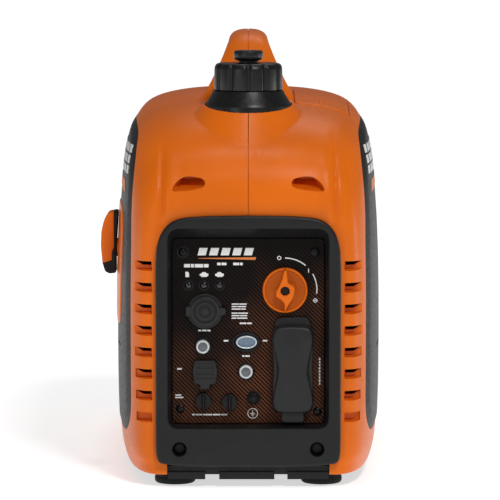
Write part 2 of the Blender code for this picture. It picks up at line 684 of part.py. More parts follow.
def panel_slot(name, at, half_x, half_z):
    return box(name + "_slot", (at[0] - half_x, PANEL_Y - 0.01, at[1] - half_z),
               (at[0] + half_x, PANEL_Y + 0.01, at[1] + half_z))


cut(panel, panel_hole("knob", KNOB_AT, 0.0060, 16), panel_hole("dc", DC_AT, 0.0150, 24),
    panel_hole("dc_button", DC_BUTTON_AT, 0.0074), panel_hole("ac_button", AC_BUTTON_AT, 0.0074),
    extruded("rocker_hole", ellipse(ROCKER_AT, 0.0122, 0.0082), "Y", PANEL_Y - 0.01, PANEL_Y + 0.01),
    panel_slot("usb", USB_AT, 0.0100, 0.0080), panel_slot("ac", AC_AT, 0.0165, 0.0370),
    panel_hole("ground", GROUND_AT, 0.0033, 12))
cut(panel, *[panel_hole(name, at, 0.0064, 16) for name, at in JACKS_AT.items()])
cut(panel, *[panel_hole(name, at, 0.0038, 12) for name, at in LAMPS_AT.items()])
cut(panel, *[panel_hole(name, at, 0.0020, 8) for name, at in SCREWS_AT.items()])
keep(panel, PANEL_BLACK)

for name, at in SCREWS_AT.items():
    screw = rod(name, (at[0], PANEL_Y - 0.0023, at[1]), (at[0], PANEL_Y - 0.0003, at[1]), 0.0034, 0.0040, 12)
    join(screw, rod(name + "_shank", (at[0], PANEL_Y - 0.0010, at[1]), (at[0], PANEL_Y + 0.0080, at[1]), 0.0016, None, 8))
    keep(screw, SCREW_STEEL)

for name, at in LAMPS_AT.items():
    keep(rod(name, (at[0], PANEL_Y - 0.0008, at[1]), (at[0], PANEL_Y + 0.0050, at[1]), 0.0034, None, 12), LAMP)

tray = loft("base_tray", [ring[:-1] + [Vector((-p.x, p.y, p.z)) for p in ring[-3::-1]]
                          for ring in shell_rings(WALL + 2 * FIT, 0.0)])
boolean(tray, "INTERSECT", box("tray_slab", (-0.15, -0.30, TRAY_LOW), (0.15, 0.30, TRAY_HIGH)))
cut(tray, box("tray_well", (-0.0770, -0.2540, TRAY_LOW + 0.0030), (0.0770, 0.2540, 0.03)))
for name, x_low, x_high in (("left", -0.0800, -0.0430), ("middle", -0.0290, 0.0260), ("right", 0.0390, 0.0800)):
    join(tray, box(f"tray_rib_{name}", (x_low, -0.2610, 0.0078), (x_high, -0.2520, 0.0150)))
keep(tray, CHARCOAL)

for name, x, y in (("foot_front_left", -1, -1), ("foot_front_right", 1, -1), ("foot_rear_left", -1, 1),
                   ("foot_rear_right", 1, 1)):
    centre = Vector((x * FOOT_X, y * FOOT_Y, 0.0))
    keep(turned(name, [(FOOT_R - 0.0030, FOOT_HIGH), (FOOT_R, FOOT_HIGH - 0.0040), (FOOT_R, 0.0020),
                       (FOOT_R - 0.0025, 0.0), (0.0, 0.0), (0.0, FOOT_HIGH)], centre, "Z", 20), RUBBER)
# The front feet stand beside the tray's outer ribs.
for foot in ("foot_front_left", "foot_front_right"):
    side = -1 if foot.endswith("left") else 1
    x_low, x_high = sorted((side * 0.0395, side * 0.0810))
    cut(bpy.data.objects[foot], box(foot + "_step", (x_low, -0.2700, 0.0073), (x_high, -0.2515, 0.0200)))

# ---------------------------------------------------------------- rear grille, muffler and tail pipe
GRILLE_FRONT, GRILLE_BACK = 0.2560, 0.2640
TAIL_AT, TAIL_R = (0.0350, 0.2050), 0.0180
grille = frame_plate("rear_grille", GRILLE_FRONT, SHELL_Y + FIT, GRILLE_BACK, GRILLE_BACK + 0.0030)
slots = []
for k in range(7):
    low = 0.0600 + 0.0160 * k
    slots.append(box(f"grille_slot_{k}", (-0.0700, 0.24, low), (0.0700, 0.28, low + 0.0080)))
for k in range(3):
    low = 0.1840 + 0.0200 * k
    slots.append(box(f"grille_side_slot_{k}", (-0.0700, 0.24, low), (-0.0020, 0.28, low + 0.0080)))
cut(grille, *slots)
cut(grille, box("tail_opening", (TAIL_AT[0] - 0.0260, 0.24, TAIL_AT[1] - 0.0260), (TAIL_AT[0] + 0.0260, 0.29, TAIL_AT[1] + 0.0260)))
keep(grille, CHARCOAL)

muffler = box("muffler", (-0.0200, 0.1200, 0.1500), (0.1000, 0.2250, 0.2550), 0.012, 2)
muffler = solid_mesh(muffler)
join(muffler, rod("tail_pipe", (TAIL_AT[0], 0.220, TAIL_AT[1]), (TAIL_AT[0], 0.2700, TAIL_AT[1]), TAIL_R, None, 24),
     wire("exhaust_pipe", [(0.0850, 0.0216, 0.2560), (0.0850, 0.0420, 0.2560), (0.0830, 0.0750, 0.2420),
                           (0.0700, 0.1250, 0.2250)], 0.0085))
cut(muffler, rod("tail_bore", (TAIL_AT[0], 0.240, TAIL_AT[1]), (TAIL_AT[0], 0.290, TAIL_AT[1]), TAIL_R - 0.004, None, 20))
keep(muffler, MUFFLER_STEEL)

# ---------------------------------------------------------------- fuel tank, collar, cap and vent knob
NECK_R, NECK_TOP = 0.0240, 0.4085
tank = solid_mesh(box("fuel_tank", (-0.0880, -0.1980, 0.2880), (0.0350, 0.0200, 0.3350), 0.010, 2))
join(tank, rod("neck", FILLER + Vector((0, 0, 0.3300)), FILLER + Vector((0, 0, NECK_TOP)), NECK_R))
cut(tank, solid_mesh(box("tank_hollow", (-0.0850, -0.1950, 0.2910), (0.0320, 0.0170, 0.3320), 0.008, 2)),
    rod("neck_bore", FILLER + Vector((0, 0, 0.3300)), FILLER + Vector((0, 0, 0.4200)), 0.0190))
keep(tank, TANK_BLACK)

collar_inner = [(0.0395, 0.3560), (0.0395, 0.3750), (0.0315, 0.3890), (0.0315, 0.3910)]
keep(turned("filler_collar", COLLAR_PROFILE + collar_inner, FILLER, "Z", 32), CAP_BLACK)

CAP_LOW, CAP_HIGH, CAP_R, CAP_LOBES = 0.3914, 0.4185, 0.0350, 12


def lobed(radius, depth, count=60):
    """A cap outline with shallow grip flutes."""
    points = []
    for k in range(count):
        angle = 2 * math.pi * k / count
        flute = max(0.0, math.cos(CAP_LOBES * angle)) ** 3
        points.append(((radius - depth * flute) * math.cos(angle), (radius - depth * flute) * math.sin(angle)))
    return points


def level(outline, z):
    return [Vector((FILLER.x + x, FILLER.y + y, z)) for x, y in outline]


fuel_cap = loft("fuel_cap", [level(lobed(CAP_R, 0.0022), CAP_LOW), level(lobed(CAP_R, 0.0022), CAP_HIGH - 0.0030),
                             level(lobed(CAP_R - 0.0030, 0.0010), CAP_HIGH)])
cut(fuel_cap, rod("cap_hollow", FILLER + Vector((0, 0, 0.3800)), FILLER + Vector((0, 0, 0.4145)), 0.0286))
keep(fuel_cap, CAP_BLACK, FILLER + Vector((0, 0, CAP_LOW)))

keep(turned("cap_insert", [(0.0280, 0.4140), (0.0280, 0.3930), (0.0244, 0.3930), (0.0244, 0.4090), (0.0, 0.4090),
                           (0.0, 0.4140)], FILLER, "Z", 20), RUBBER, FILLER)

vent_knob = rod("cap_vent_knob", FILLER + Vector((0, 0, 0.4220)), FILLER + Vector((0, 0, 0.4312)), 0.0148, 0.0142, 24)
join(vent_knob, rod("vent_stem", FILLER + Vector((0, 0, 0.4189)), FILLER + Vector((0, 0, 0.4240)), 0.0100, None, 16))
keep(vent_knob, CAP_BLACK, FILLER + Vector((0, 0, 0.4189)))

# ---------------------------------------------------------------- controls on the panel
knob_y = PANEL_Y - 0.0006
knob = rod("engine_knob", (KNOB_AT[0], knob_y, KNOB_AT[1]), (KNOB_AT[0], knob_y - 0.0060, KNOB_AT[1]), KNOB_R,
           KNOB_R - 0.0015, 32)
RIDGE = [
    (-0.0018, 0.0208), (-0.0062, 0.0040), (-0.0086, -0.0010), (-0.0078, -0.0062), (-0.0030, -0.0098), (-0.0006, -0.0150),
    (-0.0012, -0.0224), (0.0012, -0.0228), (0.0038, -0.0160), (0.0076, -0.0066), (0.0090, 0.0020), (0.0070, 0.0062),
    (0.0028, 0.0082), (0.0018, 0.0208),
]
ridge_at = [(KNOB_AT[0] + x, KNOB_AT[1] + z) for x, z in RIDGE]
join(knob, extruded("knob_ridge", ridge_at[::-1], "Y", knob_y - 0.0150, knob_y - 0.0040),
     rod("knob_shaft", (KNOB_AT[0], knob_y - 0.002, KNOB_AT[1]), (KNOB_AT[0], -0.2320, KNOB_AT[1]), 0.0050, None, 16))
cut(knob, rod("knob_eye", (KNOB_AT[0], -0.2700, KNOB_AT[1]), (KNOB_AT[0], knob_y - 0.0080, KNOB_AT[1]), 0.0048, None, 20))
keep(knob, ORANGE, (KNOB_AT[0], knob_y, KNOB_AT[1]))

switch_frame = extruded("switch_frame", ellipse(ROCKER_AT, 0.0140, 0.0104), "Y", -0.2496, PANEL_Y - 0.0003)
cut(switch_frame, extruded("switch_bore", ellipse(ROCKER_AT, 0.0119, 0.0077), "Y", -0.26, -0.23))
keep(switch_frame, SOCKET_BLACK)

rocker_pivot = Vector((ROCKER_AT[0], PANEL_Y, ROCKER_AT[1]))
rocker = keep(extruded("eco_rocker", ellipse(ROCKER_AT, ROCKER_RX, ROCKER_RZ), "Y", -0.2512, -0.2435), ROCKER_BLUE,
              rocker_pivot)
rocker.rotation_euler = (0.0, 0.0, ROCKER_TILT)

for name, at in (("dc_breaker_button", DC_BUTTON_AT), ("ac_breaker_button", AC_BUTTON_AT)):
    button = turned(name, [(BUTTON_R - 0.0012, 0.0060), (BUTTON_R, 0.0046), (BUTTON_R, -0.0040), (0.0, -0.0040),
                           (0.0, 0.0060)], (0, 0, 0), "Z", 20)
    button.data.transform(Matrix.Translation((at[0], PANEL_Y, at[1])) @ Matrix.Rotation(math.radians(90), 4, "X"))
    keep(button, BUTTON_WHITE, (at[0], PANEL_Y, at[1]))

dc_centre = Vector((DC_AT[0], 0.0, DC_AT[1]))
dc_socket = rod("dc_socket", dc_centre + Vector((0, -0.2494, 0)), dc_centre + Vector((0, -0.2468, 0)), 0.0178)
join(dc_socket, rod("dc_barrel", dc_centre + Vector((0, -0.2480, 0)), dc_centre + Vector((0, -0.2050, 0)), 0.0146))
cut(dc_socket, rod("dc_bore", dc_centre + Vector((0, -0.2600, 0)), dc_centre + Vector((0, -0.2120, 0)), 0.0108))
keep(dc_socket, SOCKET_BLACK)

DC_HINGE = Vector((DC_AT[0] - 0.0185, -0.2520, DC_AT[1]))
dc_cover = rod("dc_cover", dc_centre + Vector((0, -0.2540, 0)), dc_centre + Vector((0, -0.2498, 0)), 0.0150)
join(dc_cover, box("dc_tab", (DC_AT[0] + 0.0120, -0.2535, DC_AT[1] - 0.0035), (DC_AT[0] + 0.0208, -0.2503, DC_AT[1] + 0.0035)),
     box("dc_ear", (DC_HINGE.x - 0.0008, -0.2535, DC_AT[1] - 0.0050), (DC_AT[0] - 0.0120, -0.2503, DC_AT[1] + 0.0050)),
     rod("dc_plug", dc_centre + Vector((0, -0.2510, 0)), dc_centre + Vector((0, -0.2450, 0)), 0.0096, 0.0086))
keep(dc_cover, RUBBER, DC_HINGE)

usb = box("usb_socket", (USB_AT[0] - 0.0096, -0.2485, USB_AT[1] - 0.0076), (USB_AT[0] + 0.0096, -0.2250, USB_AT[1] + 0.0076))
cut(usb, *[box(f"usb_port_{k}", (USB_AT[0] - 0.0062, -0.26, USB_AT[1] + z), (USB_AT[0] + 0.0062, -0.2350, USB_AT[1] + z + 0.0046))
           for k, z in enumerate((-0.0060, 0.0014))])
keep(usb, SOCKET_BLACK)

USB_HINGE = Vector((USB_AT[0], -0.2495, USB_AT[1] + 0.0118))
usb_outline = [(-0.0105, -0.0115), (-0.0050, -0.0125), (-0.0045, -0.0172), (0.0045, -0.0172), (0.0050, -0.0125),
               (0.0105, -0.0115), (0.0128, 0.0), (0.0105, 0.0115), (-0.0105, 0.0115), (-0.0122, 0.0)]
usb_cover = extruded("usb_cover", [(USB_AT[0] + x, USB_AT[1] + z) for x, z in usb_outline], "Y", -0.2535, -0.2490)
keep(usb_cover, RUBBER, USB_HINGE)

AC_HINGE = Vector((AC_AT[0], -0.2560, AC_HIGH + 0.0001))
receptacle = extruded(
    "ac_receptacle",
    rounded_rectangle(AC_AT[0] - 0.0180, AC_AT[0] + 0.0180, AC_LOW + 0.002, 0.1695, 0.008, 3), "Y", -0.2516, PANEL_Y - 0.0003)
join(receptacle, box("ac_body", (AC_AT[0] - 0.0160, -0.2490, AC_AT[1] - 0.0365), (AC_AT[0] + 0.0160, -0.2150, AC_AT[1] + 0.0365)))
blades = []
for k, z in enumerate((0.1370, 0.0980)):
    for j, x in enumerate((-0.0063, 0.0063)):
        blades.append(box(f"blade_{k}_{j}", (AC_AT[0] + x - 0.0011, -0.26, z - 0.0038), (AC_AT[0] + x + 0.0011, -0.2350, z + 0.0038)))
    blades.append(rod(f"earth_{k}", (AC_AT[0], -0.26, z - 0.0105), (AC_AT[0], -0.2350, z - 0.0105), 0.0026, None, 10))
cut(receptacle, *blades)
keep(receptacle, SOCKET_BLACK)

LID_WAIST = 0.0030
lid_outline = [(AC_AT[0] + x, z) for x, z in (
    (-0.0205 + 0.006, AC_LOW), (-0.0205, AC_LOW + 0.007), (-0.0200, AC_LOW + 0.020), (-0.0200 + LID_WAIST * 0.6, 0.1176),
    (-0.0200, AC_HIGH - 0.020), (-0.0205, AC_HIGH - 0.007), (-0.0205 + 0.006, AC_HIGH), (0.0205 - 0.006, AC_HIGH),
    (0.0205, AC_HIGH - 0.007), (0.0200, AC_HIGH - 0.020), (0.0200 - LID_WAIST * 0.6, 0.1176), (0.0200, AC_LOW + 0.020),
    (0.0205, AC_LOW + 0.007), (0.0205 - 0.006, AC_LOW))]
ac_cover = extruded("ac_cover", lid_outline, "Y", -0.2622, -0.2524)
join(ac_cover, box("ac_tab", (AC_AT[0] - 0.0110, -0.2590, 0.0640), (AC_AT[0] + 0.0110, -0.2524, AC_LOW + 0.001)))
keep(ac_cover, RUBBER, AC_HINGE)

for name, at in JACKS_AT.items():
    jack = rod(name, (at[0], -0.2545, at[1]), (at[0], PANEL_Y - 0.0003, at[1]), 0.0072, 0.0080, 20)
    join(jack, rod(name + "_barrel", (at[0], -0.2480, at[1]), (at[0], -0.2300, at[1]), 0.0060, None, 16),
         box(name + "_wing", (at[0] - 0.0014, -0.2575, at[1] - 0.0068), (at[0] + 0.0014, -0.2530, at[1] + 0.0068)))
    keep(jack, RUBBER)

ground = rod("ground_terminal", (GROUND_AT[0], -0.2530, GROUND_AT[1]), (GROUND_AT[0], PANEL_Y - 0.0003, GROUND_AT[1]), 0.0056,
             None, 6)
join(ground, rod("ground_stud", (GROUND_AT[0], -0.2580, GROUND_AT[1]), (GROUND_AT[0], -0.2380, GROUND_AT[1]), 0.0029, None, 12))
keep(ground, SCREW_STEEL)

# ---------------------------------------------------------------- recoil starter
recoil_housing = turned("recoil_housing", [
    (0.0860, -0.1000), (0.0880, -0.1600), (0.0, -0.1600), (0.0, -0.1570), (0.0845, -0.1570), (0.0835, -0.1000),
], CRANK, "Y", 28)
cut(recoil_housing, rod("rope_exit", (-0.120, ROPE_Y, ROPE_Z), (-0.050, ROPE_Y, ROPE_Z), 0.0060, None, 12),
    *[rod(f"air_hole_{k}", (0.055 * math.cos(math.radians(60 * k + 20)), -0.17, CRANK.z + 0.055 * math.sin(math.radians(60 * k + 20))),
          (0.055 * math.cos(math.radians(60 * k + 20)), -0.15, CRANK.z + 0.055 * math.sin(math.radians(60 * k + 20))), 0.014, None, 10)
      for k in range(6)])
keep(recoil_housing, SOCKET_BLACK)

keep(turned("recoil_pulley", [
    (0.0430, -0.1360), (0.0430, -0.1335), (0.0340, -0.1332), (0.0340, -0.1268), (0.0430, -0.1265), (0.0430, -0.1240),
    (0.0060, -0.1240), (0.0060, -0.1360),
], CRANK, "Y"), SOCKET_BLACK, Vector((CRANK.x, ROPE_Y, CRANK.z)))

rope_inner_end = 0.0680
rope = rod("starter_rope", (GRIP_INNER_X - 0.0014, ROPE_Y, ROPE_Z), (rope_inner_end, ROPE_Y, ROPE_Z), 0.0023, None, 12)
cut(rope, rod("rope_bore", (GRIP_INNER_X + 0.0030, ROPE_Y, ROPE_Z), (rope_inner_end + 0.01, ROPE_Y, ROPE_Z), 0.0016, None, 10))
keep(rope, ROPE_CORD)
keep(rod("starter_rope_core", (GRIP_INNER_X + 0.0045, ROPE_Y, ROPE_Z), (rope_inner_end, ROPE_Y, ROPE_Z), 0.0012, None, 8),
     ROPE_CORD)

GRIP_OUTLINE = [
    (GRIP_INNER_X, 0.2668), (GRIP_INNER_X, 0.2025), (-0.1420, 0.2018), (-0.1465, 0.2040), (-0.1492, 0.2130),
    (-0.1508, 0.2300), (-0.1502, 0.2450), (-0.1475, 0.2570), (-0.1425, 0.2650),
]
# The grip's rubber core fills this outline, and the coloured face takes the rest.
GRIP_SPLIT = [
    (-0.1600, 0.1950), (-0.1600, 0.2120), (-0.1462, 0.2135), (-0.1395, 0.2158), (-0.1395, 0.2240), (-0.1374, 0.2290),
    (-0.1374, 0.2750), (-0.1300, 0.2750), (-0.1300, 0.1950),
]
GRIP_HALF = 0.0120


def grip_block(name):
    block = extruded(name, GRIP_OUTLINE, "Y", ROPE_Y - GRIP_HALF, ROPE_Y + GRIP_HALF)
    rounded = block.modifiers.new("rounded", "BEVEL")
    rounded.width = 0.0025
    rounded.segments = 2
    rounded.limit_method = "ANGLE"
    rounded.angle_limit = math.radians(50)
    return solid_mesh(block)


grip_core = grip_block("grip_core")
boolean(grip_core, "INTERSECT", extruded("grip_core_part", GRIP_SPLIT, "Y", -0.16, -0.10))
cut(grip_core, rod("grip_rope_hole", (GRIP_INNER_X - 0.0018, ROPE_Y, ROPE_Z), (-0.1300, ROPE_Y, ROPE_Z), 0.0027, None, 12))
keep(grip_core, RUBBER)
grip_face = grip_block("starter_grip")
face_split = [(x - 0.0004 if x < -0.135 else x, z + 0.0003) for x, z in GRIP_SPLIT]
cut(grip_face, extruded("grip_face_part", face_split, "Y", -0.16, -0.10))
keep(grip_face, ORANGE)

# ---------------------------------------------------------------- engine and alternator
ENGINE_Y = -0.0120
CYLINDER_LEAN = math.radians(50)
lean = Vector((math.sin(CYLINDER_LEAN), 0.0, math.cos(CYLINDER_LEAN)))


def engine_point(distance, y=ENGINE_Y):
    return Vector((CRANK.x, y, CRANK.z)) + lean * distance


crankcase = rod("crankcase", (0, -0.0480, CRANK.z), (0, 0.0450, CRANK.z), 0.0580, None, 28)
join(crankcase, box("crankcase_foot", (-0.0550, -0.0440, 0.0165), (0.0550, 0.0410, 0.1700)))
cut(crankcase, rod("crank_chamber", (0, -0.0360, CRANK.z), (0, 0.0330, CRANK.z), 0.0400, None, 24),
    rod("crank_bore", (0, -0.0600, CRANK.z), (0, 0.0600, CRANK.z), 0.0106, None, 20),
    rod("barrel_mouth", engine_point(0.020), engine_point(0.070), 0.0200, None, 20))
keep(crankcase, ALUMINIUM)

barrel = rod("cylinder", engine_point(0.0586), engine_point(0.1000), 0.0260, None, 14)
join(barrel, *[rod(f"fin_{k}", engine_point(0.0640 + 0.0070 * k), engine_point(0.0665 + 0.0070 * k), 0.0330, None, 14) for k in range(5)])
cut(barrel, rod("barrel_bore", engine_point(0.050), engine_point(0.110), 0.0200, None, 14))
keep(barrel, ALUMINIUM)
head = rod("cylinder_head", engine_point(0.1004), engine_point(0.1120), 0.0330, None, 20)
join(head, rod("valve_cover", engine_point(0.1110), engine_point(0.1250), 0.0240, 0.0210, 20))
keep(head, ALUMINIUM)

plug_foot = engine_point(0.0980) + Vector((-0.0300, 0, 0.0340))
plug = rod("spark_plug", plug_foot, plug_foot + Vector((0.0080, 0, 0.0200)), 0.0060, None, 6)
join(plug, rod("plug_boot", plug_foot + Vector((0.0072, 0, 0.0180)), plug_foot + Vector((0.0130, 0, 0.0330)), 0.0085, None, 12))
keep(plug, PORCELAIN)

shaft = rod("crankshaft", (0, -0.1210, CRANK.z), (0, -0.0200, CRANK.z), 0.0100, None, 20)
join(shaft, rod("shaft_rear", (0, -0.0040, CRANK.z), (0, 0.0600, CRANK.z), 0.0100, None, 20),
     rod("web_front", (0, -0.0260, CRANK.z), (0, -0.0180, CRANK.z), 0.0330, None, 20),
     rod("web_rear", (0, -0.0060, CRANK.z), (0, 0.0020, CRANK.z), 0.0330, None, 20),
     rod("crank_pin", (0.0180, -0.0200, CRANK.z), (0.0180, -0.0040, CRANK.z), 0.0080, None, 16))
keep(shaft, STEEL, CRANK)

keep(turned("rotor", [
    (0.0700, -0.0960), (0.0700, -0.0530), (0.0630, -0.0530), (0.0630, -0.0880), (0.0104, -0.0880), (0.0104, -0.0960),
], CRANK, "Y"), STEEL, CRANK)
keep(turned("stator", [(0.0600, -0.0840), (0.0600, -0.0520), (0.0130, -0.0500), (0.0130, -0.0840)], CRANK, "Y"), COPPER)

fan = turned("cooling_fan", [
    (0.0240, -0.1010), (0.0200, -0.1120), (0.0104, -0.1120), (0.0104, -0.0985), (0.0780, -0.0985), (0.0780, -0.1010),
], CRANK, "Y")
blades = []
for k in range(8):
    blade = box(f"fan_blade_{k}", (0.0220, -0.1180, -0.0012), (0.0740, -0.1000, 0.0012))
    blade.data.transform(Matrix.Translation(CRANK) @ Matrix.Rotation(math.radians(45 * k), 4, "Y"))
    blades.append(blade)
join(fan, *blades)
keep(fan, SOCKET_BLACK, CRANK)

# ---------------------------------------------------------------- intake, air box and inverter
carburetor = box("carburetor", (0.0350, 0.0260, 0.2620), (0.0680, 0.0560, 0.3000), 0.003, 1)
keep(solid_mesh(carburetor), ALUMINIUM)
air_box = solid_mesh(box("air_filter_box", (-0.1120, 0.0600, 0.1500), (-0.0400, 0.2000, 0.2700), 0.008, 2))
join(air_box, wire("intake_duct", [(0.0520, 0.0600, 0.2800), (0.0500, 0.0800, 0.2790), (0.0200, 0.0950, 0.2700),
                                   (-0.0200, 0.0980, 0.2500), (-0.0500, 0.0980, 0.2350)], 0.0090))
keep(air_box, SOCKET_BLACK)
inverter = box("inverter_module", (-0.0700, -0.2000, 0.0300), (0.0700, -0.1800, 0.0900))
join(inverter, *[box(f"heat_fin_{k}", (-0.0660 + 0.0165 * k, -0.1810, 0.0320), (-0.0630 + 0.0165 * k, -0.1670, 0.0880)) for k in range(9)])
keep(inverter, ALUMINIUM)
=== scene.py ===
import math

import bmesh
import bpy
import numpy as np
from mathutils import Matrix, Vector
from mathutils.bvhtree import BVHTree


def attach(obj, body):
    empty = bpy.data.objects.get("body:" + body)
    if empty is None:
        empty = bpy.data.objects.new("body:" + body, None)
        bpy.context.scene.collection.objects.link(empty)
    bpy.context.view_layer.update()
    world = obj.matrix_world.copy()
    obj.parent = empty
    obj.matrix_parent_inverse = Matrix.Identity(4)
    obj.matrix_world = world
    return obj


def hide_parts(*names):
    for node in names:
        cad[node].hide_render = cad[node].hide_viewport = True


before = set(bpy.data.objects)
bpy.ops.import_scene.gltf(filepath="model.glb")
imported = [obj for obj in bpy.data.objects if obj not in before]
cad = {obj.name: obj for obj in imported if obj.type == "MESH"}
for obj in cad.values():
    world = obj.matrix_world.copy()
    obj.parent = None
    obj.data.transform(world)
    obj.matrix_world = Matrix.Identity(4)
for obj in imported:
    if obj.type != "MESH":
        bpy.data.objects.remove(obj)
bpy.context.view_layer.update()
scene = bpy.context.scene

# Shapes are written about the seam between the shell halves, and dress() moves them to the row frame.
SEAM_X = 0.0073
TO_FRAME = Matrix.Translation((SEAM_X, 0.0, 0.0))


# ---------------------------------------------------------------- meshes
def linked(name, data):
    """A new object in the scene that holds data."""
    obj = bpy.data.objects.new(name, data)
    scene.collection.objects.link(obj)
    return obj


def mesh_object(name, points, faces):
    mesh = bpy.data.meshes.new(name)
    mesh.from_pydata([tuple(p) for p in points], [], faces)
    return linked(name, mesh)


def poured(name, bm):
    """A new mesh object with what bm holds. bm is freed."""
    mesh = bpy.data.meshes.new(name)
    bm.to_mesh(mesh)
    bm.free()
    return linked(name, mesh)


def edit(obj, work):
    """Runs work(bm) on the object's mesh."""
    bm = bmesh.new()
    bm.from_mesh(obj.data)
    work(bm)
    bm.to_mesh(obj.data)
    bm.free()
    return obj


def outward(obj):
    return edit(obj, lambda bm: bmesh.ops.recalc_face_normals(bm, faces=bm.faces))


def loft(name, rings, wrap=False):
    """A skin through closed rings of equally many points, capped at its ends or wrapped round."""
    count, faces = len(rings[0]), []
    for r in range(len(rings) - (0 if wrap else 1)):
        a, b = r * count, (r + 1) % len(rings) * count
        for i in range(count):
            j = (i + 1) % count
            faces.append((a + i, a + j, b + j, b + i))
    if not wrap:
        faces += [tuple(range(count))[::-1], tuple(range((len(rings) - 1) * count, len(rings) * count))]
    return outward(mesh_object(name, [p for ring in rings for p in ring], faces))


def at_height(axis, u, v, h):
    """The point (u, v) of a flat outline at height h along an axis."""
    return Vector({"X": (h, u, v), "Y": (u, h, v), "Z": (u, v, h)}[axis])


def stack(name, layers, axis, wrap=False):
    """A solid through flat outlines [((u, v), ...), height], one on the other along an axis."""
    return loft(name, [[at_height(axis, u, v, h) for u, v in outline] for outline, h in layers], wrap=wrap)


def circle(centre, rx, rz=None, count=48):
    rz = rx if rz is None else rz
    turn = [2 * math.pi * k / count for k in range(count)]
    return [(centre[0] + rx * math.cos(a), centre[1] + rz * math.sin(a)) for a in turn]


def turned(name, profile, centre, axis, sides=64, hollow=False):
    """A profile of (radius, height) turned about an axis. A hollow profile is a closed loop."""
    return stack(name, [(circle(centre, max(r, 0.00001), count=sides), h) for r, h in profile],
        axis, wrap=hollow)


def tenths(rows):
    """Rows of whole tenths of a millimetre, in metres."""
    return [tuple(value / 10000 for value in row) for row in rows]


def box(name, low, high):
    (x0, y0, z0), (x1, y1, z1) = low, high
    return stack(name, [([(x0, y0), (x1, y0), (x1, y1), (x0, y1)], z) for z in (z0, z1)], "Z")


def hull(name, points):
    bm = bmesh.new()
    for point in points:
        bm.verts.new(point)
    bmesh.ops.convex_hull(bm, input=bm.verts)
    return outward(poured(name, bm))


def baked(obj):
    """The object with its modifiers applied."""
    bpy.context.view_layer.update()
    made = bpy.data.meshes.new_from_object(obj.evaluated_get(bpy.context.evaluated_depsgraph_get()))
    obj.modifiers.clear()
    obj.data = made
    return obj


def boolean(obj, operation, others, solver="EXACT"):
    for other in others:
        step = obj.modifiers.new(operation, "BOOLEAN")
        step.operation, step.solver, step.object = operation, solver, other
    baked(obj)
    for other in others:
        bpy.data.objects.remove(other)
    return obj


def cut(obj, *others):
    return boolean(obj, "DIFFERENCE", others)


def carve(obj, *others):
    """cut() for closed meshes that don't cross themselves, which is faster."""
    return boolean(obj, "DIFFERENCE", others, "MANIFOLD")


def join(obj, *others):
    return boolean(obj, "UNION", others)


def gathered(name, objects):
    """Separate shells in one mesh object."""
    bm = bmesh.new()
    for obj in objects:
        bm.from_mesh(obj.data)
        bpy.data.objects.remove(obj)
    return poured(name, bm)


BEVEL_ANGLE = math.radians(35)


def bevelled(obj, width, segments):
    step = obj.modifiers.new("edges", "BEVEL")
    step.width, step.segments = width, segments
    step.limit_method, step.angle_limit = "ANGLE", BEVEL_ANGLE
    return baked(obj)


def mirror_image(obj, name):
    return mesh_object(name, [(-v.co.x, v.co.y, v.co.z) for v in obj.data.vertices],
        [tuple(p.vertices)[::-1] for p in obj.data.polygons])


# ---------------------------------------------------------------- outlines
def between(a, b, c, d, t):
    """The point at share t of the way from b to c, on a Catmull-Rom curve with neighbours a and d."""
    return tuple(0.5 * (2 * q + (r - p) * t + (2 * p - 5 * q + 4 * r - s) * t * t + (
        3 * q - p - 3 * r + s) * t ** 3) for p, q, r, s in zip(a, b, c, d))


def smooth_line(points, count):
    """count points on a Catmull-Rom curve through the given points."""
    made, last = [], len(points) - 1
    for step in range(count):
        place = step / (count - 1) * last
        i = min(int(place), last - 1)
        made.append(between(*(points[max(0, min(last, i + k))] for k in (-1, 0, 1, 2)), place - i))
    return made


def even(points, count):
    """count points, evenly spread, round a closed line of points."""
    ends = list(points) + [points[0]]
    lengths = [0.0]
    for first, second in zip(ends, ends[1:]):
        lengths.append(lengths[-1] + math.dist(first, second))
    made, at = [], 0
    for k in range(count):
        goal = lengths[-1] * k / count
        while lengths[at + 1] <= goal:
            at += 1
        share = (goal - lengths[at]) / (lengths[at + 1] - lengths[at])
        made.append(tuple(p + (q - p) * share for p, q in zip(ends[at], ends[at + 1])))
    return made


def smooth_loop(points, count):
    """count points, evenly spread, on a closed Catmull-Rom curve through the given points."""
    size, fine = len(points), []
    for i in range(size):
        around = [points[(i + k) % size] for k in (-1, 0, 1, 2)]
        fine += [between(*around, k / 12) for k in range(12)]
    return even(fine, count)


def filleted(points, radius, steps):
    """The outline with each corner rounded. radius is one number, or one for each corner."""
    made, count = [], len(points)
    for i, point in enumerate(points):
        r = radius[i] if isinstance(radius, (list, tuple)) else radius
        p, a, b = (Vector(q) for q in (point, points[i - 1], points[(i + 1) % count]))
        before, after = a - p, b - p
        half = before.angle(after) / 2
        back = min(r / max(math.tan(half), 1e-3), 0.49 * before.length, 0.49 * after.length)
        first, second = p + before.normalized() * back, p + after.normalized() * back
        for k in range(steps + 1):
            t = k / steps
            made.append(tuple(first * (1 - t) ** 2 + p * 2 * t * (1 - t) + second * t * t))
    return made


def inset_loop(outline, by):
    """A closed outline moved inwards by a fixed distance."""
    count = len(outline)
    area = sum(outline[i - 1][0] * outline[i][1] - outline[i][0] * outline[i - 1][1] for i in range(count))
    sign = math.copysign(by, area)
    made = []
    for i, (u, v) in enumerate(outline):
        before, after = outline[i - 1], outline[(i + 1) % count]
        along = Vector((after[0] - before[0], after[1] - before[1])).normalized()
        made.append((u - along.y * sign, v + along.x * sign))
    return made


def rectangle(u0, u1, v0, v1, radius, steps=8):
    return filleted([(u1, v0), (u1, v1), (u0, v1), (u0, v0)], radius, steps)


def placed(points, at):
    """Points given about a centre, moved to it."""
    return [(at[0] + u, at[1] + v) for u, v in points]


